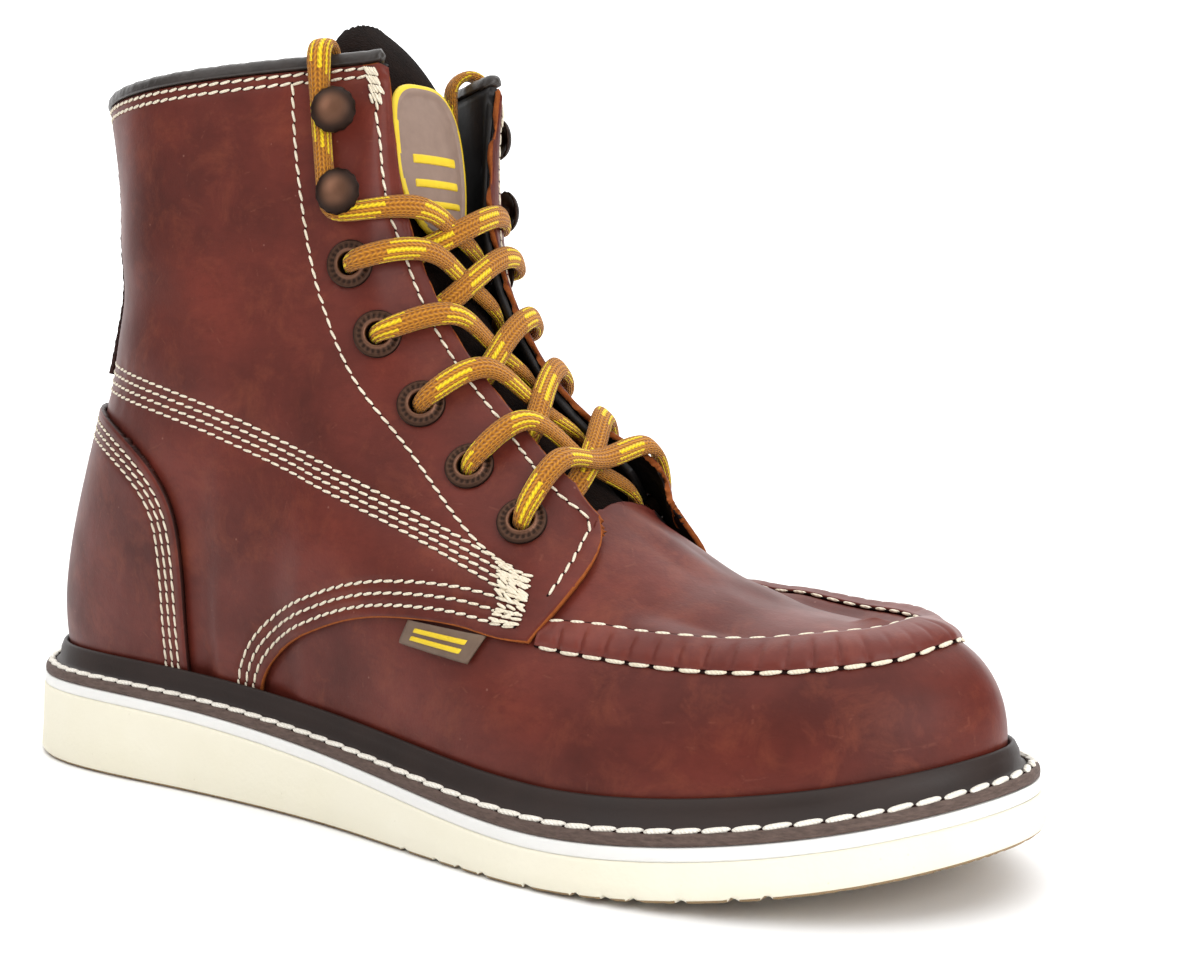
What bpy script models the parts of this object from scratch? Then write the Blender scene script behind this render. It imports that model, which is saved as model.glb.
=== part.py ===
"""Moc-toe lace-up work boot for the right foot, one named solid for each piece a maker puts together.

Tables are in millimetres: x from the back of the sole to the toe, z from the floor, and half-widths
to the outer (lateral) and inner (medial) side. +X is the toe, -Y the outer side, +Z up.
"""
import math

import bmesh
import bpy
import numpy as np

for old in list(bpy.data.objects):
    bpy.data.objects.remove(old, do_unlink=True)

MM = 0.001
GAP = 0.3
SOLE_LENGTH = 305.0
CENTRE_X = SOLE_LENGTH / 2
CENTRE_Y = -1.0
LATERAL = -1
MEDIAL = 1
SIDES = (LATERAL, MEDIAL)
SIDE_NAMES = {LATERAL: "lateral", MEDIAL: "medial"}


# Smooth curves through table rows
def spline(knots, values, closed=False):
    """Cubic curve through the values: natural at its ends, or periodic when closed."""
    t = np.asarray(knots, float)
    y = np.asarray(values, float).reshape(len(t), -1)
    n = len(t)
    h = np.diff(t)
    slope = np.diff(y, axis=0) / h[:, None]
    matrix = np.zeros((n, n))
    right = np.zeros_like(y)
    for i in range(1, n - 1):
        matrix[i, i - 1:i + 2] = h[i - 1], 2 * (h[i - 1] + h[i]), h[i]
        right[i] = 6 * (slope[i] - slope[i - 1])
    if closed:
        matrix[0, [0, 1, n - 2]] = 2 * (h[0] + h[-1]), h[0], h[-1]
        right[0] = 6 * (slope[0] - slope[-1])
        matrix[-1, [0, n - 1]] = 1, -1
    else:
        matrix[0, 0] = 1
        matrix[-1, -1] = 1
    bend = np.linalg.solve(matrix, right)

    def curve(at):
        at = np.atleast_1d(np.asarray(at, float))
        i = np.clip(np.searchsorted(t, at, side="right") - 1, 0, n - 2)
        a = ((t[i + 1] - at) / h[i])[:, None]
        b = 1 - a
        square = (h[i] ** 2 / 6)[:, None]
        return a * y[i] + b * y[i + 1] + ((a ** 3 - a) * bend[i] + (b ** 3 - b) * bend[i + 1]) * square

    return curve


def smooth_step(low, high, at):
    k = np.clip((np.asarray(at, float) - low) / (high - low), 0, 1)
    return k * k * (3 - 2 * k)


def lengths(points):
    """Running length along a polyline."""
    return np.concatenate([[0], np.cumsum(np.linalg.norm(np.diff(points, axis=0), axis=1))])


# Sole: outline seen from above, thickness and toe spring
OUTLINE_COLUMNS = ("x", "lateral", "medial")
OUTLINE = (
    (0.0, 0.0, 0.0),
    (3.0, 13.5, 13.5),
    (12.0, 26.0, 26.0),
    (28.0, 36.0, 36.0),
    (50.0, 40.3, 40.3),
    (85.0, 40.6, 38.2),
    (115.0, 41.3, 35.2),
    (145.0, 44.0, 34.8),
    (175.0, 49.3, 40.5),
    (200.0, 53.5, 47.5),
    (220.0, 55.0, 52.0),
    (240.0, 53.5, 53.0),
    (260.0, 48.5, 50.0),
    (280.0, 38.5, 42.5),
    (295.0, 24.0, 29.0),
    (303.0, 9.0, 14.0),
    (305.0, -3.0, 3.0),
)
SPRING_START = 205.0
TOE_SPRING = 12.8
THICKNESS_COLUMNS = ("x", "thick")
THICKNESS = (
    (0.0, 22.8),
    (60.0, 22.5),
    (100.0, 20.6),
    (140.0, 17.2),
    (175.0, 13.9),
    (205.0, 11.7),
    (240.0, 11.3),
    (305.0, 11.3),
)
MIDSOLE_THICK = 4.0
FEATHER_INSET = 9.5
SHARE = np.linspace(0, 1, 241)


def ground(x):
    rise = np.clip(np.asarray(x, float) - SPRING_START, 0, None) / (SOLE_LENGTH - SPRING_START)
    return TOE_SPRING * rise ** 2


_thick = spline([row[0] for row in THICKNESS], [row[1] for row in THICKNESS])


def sole_top(x):
    return ground(x) + _thick(np.clip(x, 0, SOLE_LENGTH))[:, 0]


def outline_side(side, inset):
    """One side of the outline from heel back to toe tip, moved inward, a point for each of SHARE."""
    lateral = [(row[0], -row[1]) for row in OUTLINE]
    medial = [(row[0], row[2]) for row in OUTLINE[-2::-1]]
    ring = np.array(lateral + medial)
    knots = lengths(ring)
    toe = knots[len(OUTLINE) - 1]
    total = knots[-1]
    curve = spline(knots, ring, closed=True)
    start = 0.0 if side == LATERAL else total
    at = start + (toe - start) * SHARE
    step = 0.05
    tangent = curve((at + step) % total) - curve((at - step) % total)
    tangent /= np.linalg.norm(tangent, axis=1)[:, None]
    inward = np.stack([-tangent[:, 1], tangent[:, 0]], axis=1)
    return curve(at) + inward * inset


def outline_at(side, inset, share):
    line = outline_side(side, inset)
    return np.column_stack([np.interp(share, SHARE, line[:, 0]), np.interp(share, SHARE, line[:, 1])])


# The visible form of the upper: each row is a curve from the feather edge up to the top line
SECTION_COLUMNS = ("feather_x", "low_dx", "low_out", "low_up", "high_x", "high_y", "high_z",
                   "top_x", "top_y", "top_z")
SECTIONS = (
    (9.5, -7.4, 0.0, 42.0, 45.0, 0.0, 93.0, 36.6, 0.0, 181.3),
    (18.0, -8.9, 7.0, 52.0, 58.0, 14.5, 94.0, 45.0, 22.3, 181.3),
    (46.0, 0.0, 5.5, 45.0, 75.0, 35.3, 100.0, 67.0, 38.0, 181.8),
    (85.0, 0.0, 8.5, 50.0, 104.0, 39.5, 112.0, 103.0, 41.5, 182.8),
    (120.0, 4.0, 10.0, 52.0, 139.0, 34.0, 130.0, 146.5, 22.2, 185.8),
    (142.0, 4.0, 10.0, 50.0, 155.0, 33.0, 112.0, 147.4, 17.0, 150.0),
    (160.0, 4.0, 9.5, 46.0, 170.0, 32.5, 95.0, 162.0, 14.5, 118.0),
    (177.0, 4.0, 8.5, 42.0, 186.0, 31.5, 85.0, 180.0, 14.0, 98.5),
    (190.0, 3.0, 7.0, 38.0, 199.5, 30.0, 78.5, 197.8, 16.0, 82.6),
    (202.0, 2.0, 5.0, 36.0, 207.0, 27.0, 74.5, 202.0, 0.0, 80.0),
    (222.0, 0.0, 3.0, 34.0, 223.0, 27.0, 68.0, 222.0, 0.0, 68.5),
    (246.0, 0.0, 2.5, 30.0, 245.0, 28.0, 61.0, 243.0, 0.0, 61.5),
    (268.0, 1.0, 2.0, 28.0, 263.0, 25.0, 58.5, 256.0, 0.0, 59.5),
    (286.0, 3.0, 1.5, 25.0, 280.0, 16.0, 56.5, 263.0, 0.0, 58.8),
    (295.5, 5.5, 0.0, 22.0, 290.0, 0.0, 55.5, 268.0, 0.0, 58.3),
)
CORNER_ROW = 4
THROAT_ROW = 9
LAST_ROW = len(SECTIONS) - 1
TOE_SWAY = 3.0
LEATHER = 1.7
LAYER = LEATHER + GAP
WALL = 2.0


def column(name):
    at = SECTION_COLUMNS.index(name)
    return np.array([row[at] for row in SECTIONS])


def station_curves():
    rows = np.arange(len(SECTIONS), dtype=float)
    handles = spline(rows, np.stack([column(name) for name in SECTION_COLUMNS[:7]], axis=1))
    top = np.stack([column(name) for name in SECTION_COLUMNS[7:]], axis=1)
    cuts = (0, CORNER_ROW, THROAT_ROW, LAST_ROW)
    pieces = [spline(rows[a:b + 1], top[a:b + 1]) for a, b in zip(cuts, cuts[1:])]

    def top_at(s):
        s = np.atleast_1d(s)
        out = np.zeros((len(s), 3))
        for k, piece in enumerate(pieces):
            chosen = (s >= cuts[k]) & (s <= cuts[k + 1])
            out[chosen] = piece(s[chosen])
        return out

    return handles, top_at


_handles, _top_line = station_curves()
_feather = {side: outline_side(side, FEATHER_INSET) for side in SIDES}


def feather_share(side, s):
    line = _feather[side]
    x = np.clip(_handles(s)[:, 0], line[0, 0], line[-1, 0])
    share = np.interp(x, line[:, 0], SHARE)
    share[s <= 0] = 0
    share[s >= LAST_ROW] = 1
    return share


def sway(x):
    """The forefoot swings to the inner side toward the toe tip."""
    return TOE_SWAY * smooth_step(225, 296, x)


def envelope(side, s, v):
    """Points of the visible outer form, s along the rows of SECTIONS and v from feather edge to top."""
    s = np.asarray(s, float)
    data = _handles(s)
    top = _top_line(s)
    feather = outline_at(side, FEATHER_INSET, feather_share(side, s))
    foot = np.column_stack([feather, sole_top(feather[:, 0]) + GAP])
    low = foot + np.column_stack([data[:, 1], side * data[:, 2], data[:, 3]])
    high = np.column_stack([data[:, 4], side * data[:, 5] + sway(data[:, 4]), data[:, 6]])
    end = np.column_stack([top[:, 0], side * top[:, 1] + sway(top[:, 0]), top[:, 2]])
    v = np.asarray(v, float)[None, :, None]
    return ((1 - v) ** 3 * foot[:, None] + 3 * v * (1 - v) ** 2 * low[:, None]
            + 3 * v ** 2 * (1 - v) * high[:, None] + v ** 3 * end[:, None])


def normals(side, s, v):
    step = 0.01
    s = np.asarray(s, float)
    v = np.asarray(v, float)
    along = envelope(side, np.clip(s + step, 0, LAST_ROW), v) - envelope(side, np.clip(s - step, 0, LAST_ROW), v)
    up = envelope(side, s, np.clip(v + step, 0, 1)) - envelope(side, s, np.clip(v - step, 0, 1))
    out = np.cross(along, up) * -side
    nothing = np.zeros_like(up[..., 0])
    out[s <= 0] = np.stack([-up[..., 2], nothing, up[..., 0]], axis=2)[s <= 0]
    out[s >= LAST_ROW] = np.stack([up[..., 2], nothing, -up[..., 0]], axis=2)[s >= LAST_ROW]
    ridge = (s >= THROAT_ROW)[:, None] & (v >= 1)[None, :]
    out[ridge] = np.stack([-along[..., 2], nothing, along[..., 0]], axis=2)[ridge]
    return out / np.linalg.norm(out, axis=2)[..., None]


COUNTER_FOOT_X = 87.0
QUARTER_FOOT_X = 114.0


def underlay(s, v):
    """How far the leather layers on top hold the upper's own wall below the visible form."""
    foot_x = _handles(s)[:, 0]
    counter_end = smooth_step(COUNTER_FOOT_X, COUNTER_FOOT_X + 9, foot_x)
    quarter_end = smooth_step(QUARTER_FOOT_X, QUARTER_FOOT_X + 14, foot_x)
    low = LAYER * (2 - counter_end - quarter_end)
    high = LAYER * (1 - smooth_step(8.0, 10.5, s))
    k = smooth_step(0.2, 0.6, v)[None, :]
    return low[:, None] * (1 - k) + high[:, None] * k


def form(side, s, v, offset):
    """The upper's own surface moved outward by offset millimetres."""
    s = np.atleast_1d(np.asarray(s, float))
    v = np.atleast_1d(np.asarray(v, float))
    offset = np.asarray(offset, float)
    points = envelope(side, s, v) + normals(side, s, v) * (offset - underlay(s, v))[..., None]
    foot = v <= 0
    flat = points[:, foot].reshape(-1, 3)
    points[:, foot, 2] = (sole_top(flat[:, 0]) + GAP).reshape(len(s), -1)
    return points


_S_FINE = np.linspace(0, LAST_ROW, LAST_ROW * 12 + 1)
_V_FINE = np.linspace(0, 1, 81)


def locate(side, x, z):
    """The s and v where the visible form stands at x and z in the side view."""
    points = envelope(side, _S_FINE, _V_FINE)
    miss = (points[..., 0] - x) ** 2 + (points[..., 2] - z) ** 2
    i, j = np.unravel_index(np.argmin(miss), miss.shape)
    at = np.array([_S_FINE[i], _V_FINE[j]])
    step = 0.004
    for _ in range(6):
        here = envelope(side, [at[0]], [at[1]])[0, 0, [0, 2]]
        ds = (envelope(side, [at[0] + step], [at[1]])[0, 0, [0, 2]] - here) / step
        dv = (envelope(side, [at[0]], [at[1] - step])[0, 0, [0, 2]] - here) / -step
        at = at + np.linalg.solve(np.column_stack([ds, dv]), np.array([x, z]) - here)
        at = np.clip(at, [0.0, 0.01], [LAST_ROW - 0.01, 1.0])
    return at


def frame_at(side, s, v, offset):
    """Point on the upper's own form, its outward normal and its upward direction."""
    point = form(side, s, v, offset)[0, 0]
    out = normals(side, np.array([s]), np.array([v]))[0, 0]
    up = form(side, s, v + 0.01, offset)[0, 0] - form(side, s, v - 0.01, offset)[0, 0]
    up -= out * np.dot(up, out)
    return point, out, up / np.linalg.norm(up)


# Meshes from grids of points
def place(points):
    return (np.asarray(points, float) - np.array([CENTRE_X, CENTRE_Y, 0.0])) * MM


def material(name, colour, roughness=0.6, metallic=0.0):
    made = bpy.data.materials.new(name)
    made.use_nodes = True
    shader = made.node_tree.nodes["Principled BSDF"]
    shader.inputs["Base Color"].default_value = (*colour, 1.0)
    shader.inputs["Roughness"].default_value = roughness
    shader.inputs["Metallic"].default_value = metallic
    return made


def add_object(name, bm, skin):
    bmesh.ops.remove_doubles(bm, verts=bm.verts, dist=0.000005)
    bmesh.ops.recalc_face_normals(bm, faces=bm.faces)
    mesh = bpy.data.meshes.new(name)
    bm.to_mesh(mesh)
    bm.free()
    mesh.materials.append(skin)
    made = bpy.data.objects.new(name, mesh)
    bpy.context.scene.collection.objects.link(made)
    return made


def grid_faces(bm, rows, wrap=False):
    """Triangles between neighbouring rows of points; wrap closes each row into a ring."""
    verts = [[bm.verts.new(p) for p in place(row)] for row in rows]
    count = len(verts[0])
    for near, far in zip(verts, verts[1:]):
        for j in range(count if wrap else count - 1):
            m = (j + 1) % count
            bm.faces.new((near[j], far[j], far[m]))
            bm.faces.new((near[j], far[m], near[m]))
    return verts


def rim(grid):
    """The boundary of a grid of vertices, in order."""
    return (list(grid[0]) + [row[-1] for row in grid[1:]] + list(grid[-1][-2::-1])
            + [row[0] for row in grid[-2:0:-1]])


def plate(bm, outer, inner):
    """A closed plate between two grids of points of the same shape."""
    edge_a = rim(grid_faces(bm, outer))
    edge_b = rim(grid_faces(bm, inner))
    for i in range(len(edge_a)):
        j = (i + 1) % len(edge_a)
        bm.faces.new((edge_a[i], edge_a[j], edge_b[j], edge_b[i]))


def tube(bm, rings):
    """A closed tube through rings of points."""
    verts = grid_faces(bm, rings, wrap=True)
    bm.faces.new(verts[0])
    bm.faces.new(verts[-1][::-1])


def cutter(name, bm):
    made = add_object(name, bm, leather_skin)
    made.hide_render = True
    made.display_type = "WIRE"
    return made


def apply_step(target, other, operation="DIFFERENCE"):
    step = target.modifiers.new(operation.lower() + "_" + other.name, "BOOLEAN")
    step.operation = operation
    step.solver = "EXACT"
    step.object = other


def side_prism(name, outline, reach=90.0):
    """A cutter with the outline of a side view, right through the boot."""
    bm = bmesh.new()
    rings = [[(x, y, z) for x, z in outline] for y in (-reach, reach)]
    tube(bm, rings)
    return cutter(name, bm)


def smooth_outline(rows, count):
    points = np.array(rows, float)
    run = lengths(points)
    return [tuple(p) for p in spline(run, points)(np.linspace(0, run[-1], count))]


HEEL_END = 2
TOE_START = 11
FINE = 3
COARSE = 2
ROWS_V = 7
S_ALL = np.concatenate([
    np.arange(0, HEEL_END * FINE) / FINE,
    HEEL_END + np.arange(0, (TOE_START - HEEL_END) * COARSE) / COARSE,
    TOE_START + np.arange(0, (LAST_ROW - TOE_START) * FINE + 1) / FINE,
])
V_ALL = np.linspace(0, 1, ROWS_V + 1)

leather_skin = material("oiled_leather", (0.16, 0.035, 0.028), 0.45)
cream_skin = material("cream_rubber", (0.9, 0.86, 0.72), 0.7)
white_skin = material("white_rubber", (0.9, 0.89, 0.88), 0.6)
welt_skin = material("welt_rubber", (0.045, 0.033, 0.03), 0.55)
insole_skin = material("insole_board", (0.05, 0.045, 0.04), 0.8)
binding_skin = material("black_binding", (0.02, 0.02, 0.022), 0.5)
tongue_skin = material("brown_suede", (0.03, 0.014, 0.01), 0.9)
patch_skin = material("patch_rubber", (0.25, 0.17, 0.13), 0.6)
hardware_skin = material("antique_copper", (0.1, 0.06, 0.045), 0.4, 1.0)
lace_skin = material("lace_cord", (0.43, 0.19, 0.012), 0.8)


# Sole layers, lofted between outlines at their own heights
def sole_layer(name, levels, skin):
    """levels: rows of (inset, height function of x) from the bottom up."""
    share = np.linspace(0, 1, 37)
    bm = bmesh.new()
    faces = {}
    for side in SIDES:
        rows = []
        for inset, height in levels:
            line = outline_at(side, inset, share)
            rows.append(np.column_stack([line, height(line[:, 0])]))
        grid_faces(bm, rows)
        faces[side] = rows
    for level in (0, -1):
        grid_faces(bm, [faces[LATERAL][level], faces[MEDIAL][level]])
    bmesh.ops.remove_doubles(bm, verts=bm.verts, dist=0.00001)
    bmesh.ops.dissolve_degenerate(bm, edges=bm.edges, dist=0.00001)
    return add_object(name, bm, skin)


outsole = sole_layer("outsole", (
    (1.0, ground),
    (0.0, lambda x: ground(x) + 1.4),
    (1.1, lambda x: sole_top(x) - MIDSOLE_THICK - GAP),
), cream_skin)
midsole = sole_layer("midsole", (
    (1.2, lambda x: sole_top(x) - MIDSOLE_THICK),
    (1.4, sole_top),
), white_skin)

# Tread: shallow V grooves across the forefoot
GROOVE_X = (186.0, 196.0, 206.0, 220.0, 234.0, 244.0)
GROOVE_WIDE = 2.6
GROOVE_DEEP = 1.5


def groove_cutter():
    bm = bmesh.new()
    for x in GROOVE_X:
        floor = float(ground(x))
        outline = ((x - GROOVE_WIDE, floor - GROOVE_DEEP), (x + GROOVE_WIDE, floor - GROOVE_DEEP), (x, floor + GROOVE_DEEP))
        tube(bm, [[(a, y, b) for a, b in outline] for y in (-80.0, 80.0)])
    return cutter("groove_cutter", bm)


apply_step(outsole, groove_cutter())

# Welt: flat ledge with a cove and a lip that stands against the upper
LIP_HEIGHT = 8.6
WELT_COLUMNS = ("inset", "up")
WELT_LEDGE = (
    (5.2, 4.5),
    (2.4, 3.9),
    (1.6, 3.1),
    (1.5, 0.3),
)


def height_point(side, s, up):
    """Where each curve of the visible form is a given height above the sole's top."""
    v = np.linspace(0, 0.7, 141)
    points = envelope(side, s, v)
    found = []
    for row in points:
        rise = row[:, 2] - sole_top(row[:, 0])
        found.append([np.interp(up, rise, row[:, k]) for k in range(3)])
    return np.array(found)


def welt_rings(side):
    s = S_ALL
    share = feather_share(side, s)
    inner_line = outline_at(side, FEATHER_INSET, share)
    outer_line = outline_at(side, 0.0, share)
    out = outer_line - inner_line
    out /= np.linalg.norm(out, axis=1)[:, None]
    profile = []
    for up, clear in ((GAP, GAP), (4.3, GAP + 0.1), (LIP_HEIGHT, GAP + 0.1), (LIP_HEIGHT + 0.2, 1.3), (6.4, 2.6)):
        base = height_point(side, s, up)
        line = base[:, :2] + out * clear
        profile.append(np.column_stack([line, sole_top(line[:, 0]) + up]))
    for inset, up in WELT_LEDGE:
        line = outline_at(side, inset, share)
        profile.append(np.column_stack([line, sole_top(line[:, 0]) + up]))
    return np.stack(profile, axis=1)


def welt_solid():
    bm = bmesh.new()
    for side in SIDES:
        grid_faces(bm, welt_rings(side), wrap=True)
    return add_object("welt", bm, welt_skin)


welt = welt_solid()

# Insole board inside the upper
INSOLE_THICK = 3.0


def insole_solid():
    bm = bmesh.new()
    faces = {}
    for side in SIDES:
        line = form(side, S_ALL, [0.0], -WALL - 0.6)[:, 0, :2]
        rows = [np.column_stack([line, sole_top(line[:, 0]) + up]) for up in (GAP, GAP + INSOLE_THICK)]
        grid_faces(bm, rows)
        faces[side] = rows
    for level in (0, 1):
        grid_faces(bm, [faces[LATERAL][level], faces[MEDIAL][level]])
    bmesh.ops.remove_doubles(bm, verts=bm.verts, dist=0.00001)
    bmesh.ops.dissolve_degenerate(bm, edges=bm.edges, dist=0.00001)
    return add_object("insole", bm, insole_skin)


insole = insole_solid()


# Upper: one wall, open at the collar and throat and underneath
def upper_solid():
    bm = bmesh.new()
    open_top = S_ALL <= THROAT_ROW
    for side in SIDES:
        outer = form(side, S_ALL, V_ALL, 0.0)
        inner = form(side, S_ALL, V_ALL, -WALL)
        grid_faces(bm, outer)
        grid_faces(bm, inner)
        grid_faces(bm, [outer[:, 0], inner[:, 0]])
        grid_faces(bm, [outer[open_top, -1], inner[open_top, -1]])
    return add_object("upper", bm, leather_skin)


upper = upper_solid()

# Quarters: one big panel a side, cut along its lower edge and the front of its flap
QUARTER_EDGE_COLUMNS = ("x", "z")
QUARTER_EDGE = (
    (197.6, 84.0),
    (200.5, 79.5),
    (205.0, 74.3),
    (209.2, 69.0),
    (210.8, 63.5),
    (209.4, 58.6),
    (206.4, 54.0),
    (203.0, 49.8),
)
QUARTER_LOW = (
    (203.0, 49.8),
    (195.4, 50.4),
    (187.4, 51.8),
    (178.0, 52.6),
    (168.5, 52.6),
    (158.0, 51.9),
    (151.0, 50.8),
    (143.0, 48.8),
    (136.0, 46.5),
    (129.0, 43.8),
    (123.5, 41.0),
    (118.5, 37.6),
    (114.4, 33.6),
    (111.4, 28.5),
    (110.0, 22.0),
    (109.5, 12.0),
)
FAR = 340.0
quarter_cutter = side_prism("quarter_cutter", [(197.6, 96.0)] + smooth_outline(QUARTER_EDGE, 11)
                            + smooth_outline(QUARTER_LOW, 14)[1:]
                            + [(103.5, -20.0), (FAR, -20.0), (FAR, 96.0)])


SEAM_START = 0.06


def quarter_solid(side):
    s = S_ALL[S_ALL < 10.1]
    s[0] = SEAM_START
    bm = bmesh.new()
    plate(bm, form(side, s, V_ALL, LAYER), form(side, s, V_ALL, GAP))
    made = add_object("quarter_" + SIDE_NAMES[side], bm, leather_skin)
    apply_step(made, quarter_cutter)
    return made


quarters = {side: quarter_solid(side) for side in SIDES}

# Heel counter over both quarters
COUNTER_EDGE_COLUMNS = ("x", "z")
COUNTER_EDGE = (
    (20.0, 100.6),
    (36.0, 100.3),
    (52.3, 97.8),
    (67.0, 91.7),
    (78.0, 83.0),
    (83.0, 74.0),
    (84.3, 61.0),
    (83.6, 47.0),
    (82.6, 31.0),
    (82.3, 12.0),
)
counter_cutter = side_prism("counter_cutter", [(-20.0, 100.6)] + smooth_outline(COUNTER_EDGE, 13)
                            + [(82.3, -20.0), (FAR, -20.0), (FAR, 260.0), (-20.0, 260.0)])


def across(side_s, v, offset):
    """A grid over both sides, from the outer side round the back seam to the inner side."""
    outer = form(LATERAL, side_s[::-1], v, offset)
    inner = form(MEDIAL, side_s[1:], v, offset)
    return np.concatenate([outer, inner])


COUNTER_GAP = 0.6


def counter_solid():
    s = np.concatenate([[0, SEAM_START], S_ALL[(S_ALL > 0) & (S_ALL < 3.4)]])
    v = V_ALL[V_ALL < 0.75]
    bm = bmesh.new()
    plate(bm, across(s, v, 2 * LAYER), across(s, v, LAYER + COUNTER_GAP))
    made = add_object("heel_counter", bm, leather_skin)
    apply_step(made, counter_cutter)
    return made


counter = counter_solid()

# Backstay: the strip over the back seam, from the counter to the binding, narrower toward its top
BACKSTAY_COLUMNS = ("v", "half")
BACKSTAY = (
    (0.64, 1.05),
    (5 / 7, 1.0),
    (6 / 7, 0.9),
    (0.985, 0.8),
)


def backstay_grid(offset):
    return [across(np.array((0, SEAM_START, 1 / 3, 2 / 3, half)), [v], offset)[:, 0] for v, half in BACKSTAY]


def backstay_solid():
    bm = bmesh.new()
    plate(bm, backstay_grid(2 * LAYER + GAP), backstay_grid(LAYER + 2 * GAP))
    return add_object("backstay", bm, leather_skin)


backstay = backstay_solid()

# Toe seam: the raised ridge round the plug of the vamp
SEAM_COLUMNS = ("s", "v_outer", "v_inner")
SEAM = (
    (9.35, 0.400, 0.475),
    (10.0, 0.428, 0.520),
    (10.5, 0.450, 0.555),
    (11.0, 0.473, 0.595),
    (11.5, 0.490, 0.630),
    (12.0, 0.505, 0.668),
    (12.5, 0.533, 0.710),
    (13.0, 0.573, 0.756),
    (13.5, 0.626, 0.810),
    (14.0, 0.672, 0.850),
)
SEAM_RISE = (0.8, 1.4, 1.2, 0.7)


def seam_grid(offsets):
    table = spline([row[0] for row in SEAM], [row[1:] for row in SEAM])
    s = np.linspace(SEAM[0][0], SEAM[-1][0], 13)
    edges = table(s)
    rows = {}
    for side in SIDES:
        made = []
        for at, (v_out, v_in) in zip(s, edges):
            made.append(form(side, at, np.linspace(v_out, v_in, len(offsets)), np.array(offsets))[0])
        rows[side] = made
    return rows[LATERAL] + rows[MEDIAL][-2::-1]


def seam_solid():
    bm = bmesh.new()
    plate(bm, seam_grid(SEAM_RISE), seam_grid([GAP] * len(SEAM_RISE)))
    return add_object("toe_seam", bm, leather_skin)


toe_seam = seam_solid()

# Collar binding: a soft roll on top of the shaft
BINDING_COLUMNS = ("out", "up")
BINDING = (
    (1.7, 0.3),
    (2.4, 1.1),
    (2.1, 2.5),
    (0.9, 3.6),
    (-1.1, 3.6),
    (-2.3, 2.5),
    (-2.6, 1.1),
    (-1.9, 0.3),
)


def binding_solid():
    s = S_ALL[S_ALL <= CORNER_ROW]
    rings = []
    for side, along in ((LATERAL, s[::-1]), (MEDIAL, s[1:])):
        loops = [form(side, along, [1.0], out)[:, 0] + np.array([0.0, 0.0, up]) for out, up in BINDING]
        rings += list(np.stack(loops, axis=1))
    bm = bmesh.new()
    tube(bm, rings)
    return add_object("collar_binding", bm, binding_skin)


binding = binding_solid()

# Tongue: a curved sheet behind the throat, rising above the collar
TONGUE_COLUMNS = ("x", "z", "half", "drop")
TONGUE = (
    (206.0, 69.6, 16.0, 4.5),
    (199.5, 74.9, 18.0, 6.0),
    (191.5, 81.0, 20.0, 8.0),
    (176.5, 94.9, 21.5, 11.0),
    (157.8, 115.6, 23.0, 15.0),
    (145.2, 140.0, 24.5, 14.0),
    (141.2, 156.0, 25.5, 12.0),
    (138.0, 174.0, 22.5, 7.0),
    (131.8, 188.2, 22.0, 6.0),
    (125.0, 196.2, 19.0, 5.0),
    (120.5, 200.2, 10.0, 3.0),
)
TONGUE_THICK = 2.4
TONGUE_POWER = 2.5
_tongue = spline(np.arange(len(TONGUE)), TONGUE)


def tongue_points(row, across_share, lift):
    """Points across one row of the tongue; lift moves them out of its middle surface."""
    x, z, half, drop = _tongue(row)[0]
    ahead = _tongue(row + 0.02)[0] - _tongue(row - 0.02)[0]
    out = np.array([ahead[1], 0.0, -ahead[0]])
    out /= np.linalg.norm(out)
    share = np.asarray(across_share, float)
    sink = lift - drop * np.abs(share) ** TONGUE_POWER
    points = np.array([x, 0.0, z]) + sink[:, None] * out
    points[:, 1] = half * share
    return points


def tongue_solid():
    rows = np.linspace(0, len(TONGUE) - 1, 14)
    share = np.linspace(-1, 1, 7)
    grids = [[tongue_points(row, share, lift) for row in rows] for lift in (TONGUE_THICK / 2, -TONGUE_THICK / 2)]
    bm = bmesh.new()
    plate(bm, *grids)
    return add_object("tongue", bm, tongue_skin)


tongue = tongue_solid()

# Patch on the tongue, bare
PATCH_LOW = 5.1
PATCH_HIGH = 7.55
PATCH_HALF = 13.5
PATCH_THICK = 2.0


def patch_solid():
    rows = np.linspace(PATCH_LOW, PATCH_HIGH, 9)
    grids = []
    for lift in (TONGUE_THICK / 2 + 3 * GAP + PATCH_THICK, TONGUE_THICK / 2 + 3 * GAP):
        grid = []
        for row in rows:
            k = 2 * (row - PATCH_LOW) / (PATCH_HIGH - PATCH_LOW) - 1
            half = PATCH_HALF * max(1 - abs(k) ** 3.5, 0.12) ** 0.5
            grid.append(tongue_points(row, np.linspace(-1, 1, 5) * half / _tongue(row)[0][2], lift))
        grids.append(grid)
    bm = bmesh.new()
    plate(bm, *grids)
    return add_object("tongue_patch", bm, patch_skin)


patch = patch_solid()

# Side tab: a small folded tag that hangs below the edge of the outer quarter
TAB_COLUMNS = ("x", "z")
TAB_CORNERS = ((169.1, 51.4), (192.6, 49.8), (188.6, 44.0), (166.4, 46.6))
TAB_THICK = 1.4


def tab_solid():
    corners = np.array(TAB_CORNERS)
    grids = []
    for lift in (GAP + TAB_THICK, GAP):
        grid = []
        for k in np.linspace(0, 1, 3):
            left = corners[0] * (1 - k) + corners[3] * k
            right = corners[1] * (1 - k) + corners[2] * k
            row = []
            for m in np.linspace(0, 1, 5):
                s, v = locate(LATERAL, *(left * (1 - m) + right * m))
                row.append(form(LATERAL, s, v, lift)[0, 0])
            grid.append(np.array(row))
        grids.append(grid)
    bm = bmesh.new()
    plate(bm, *grids)
    return add_object("side_tab", bm, tongue_skin)


side_tab = tab_solid()

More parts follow.
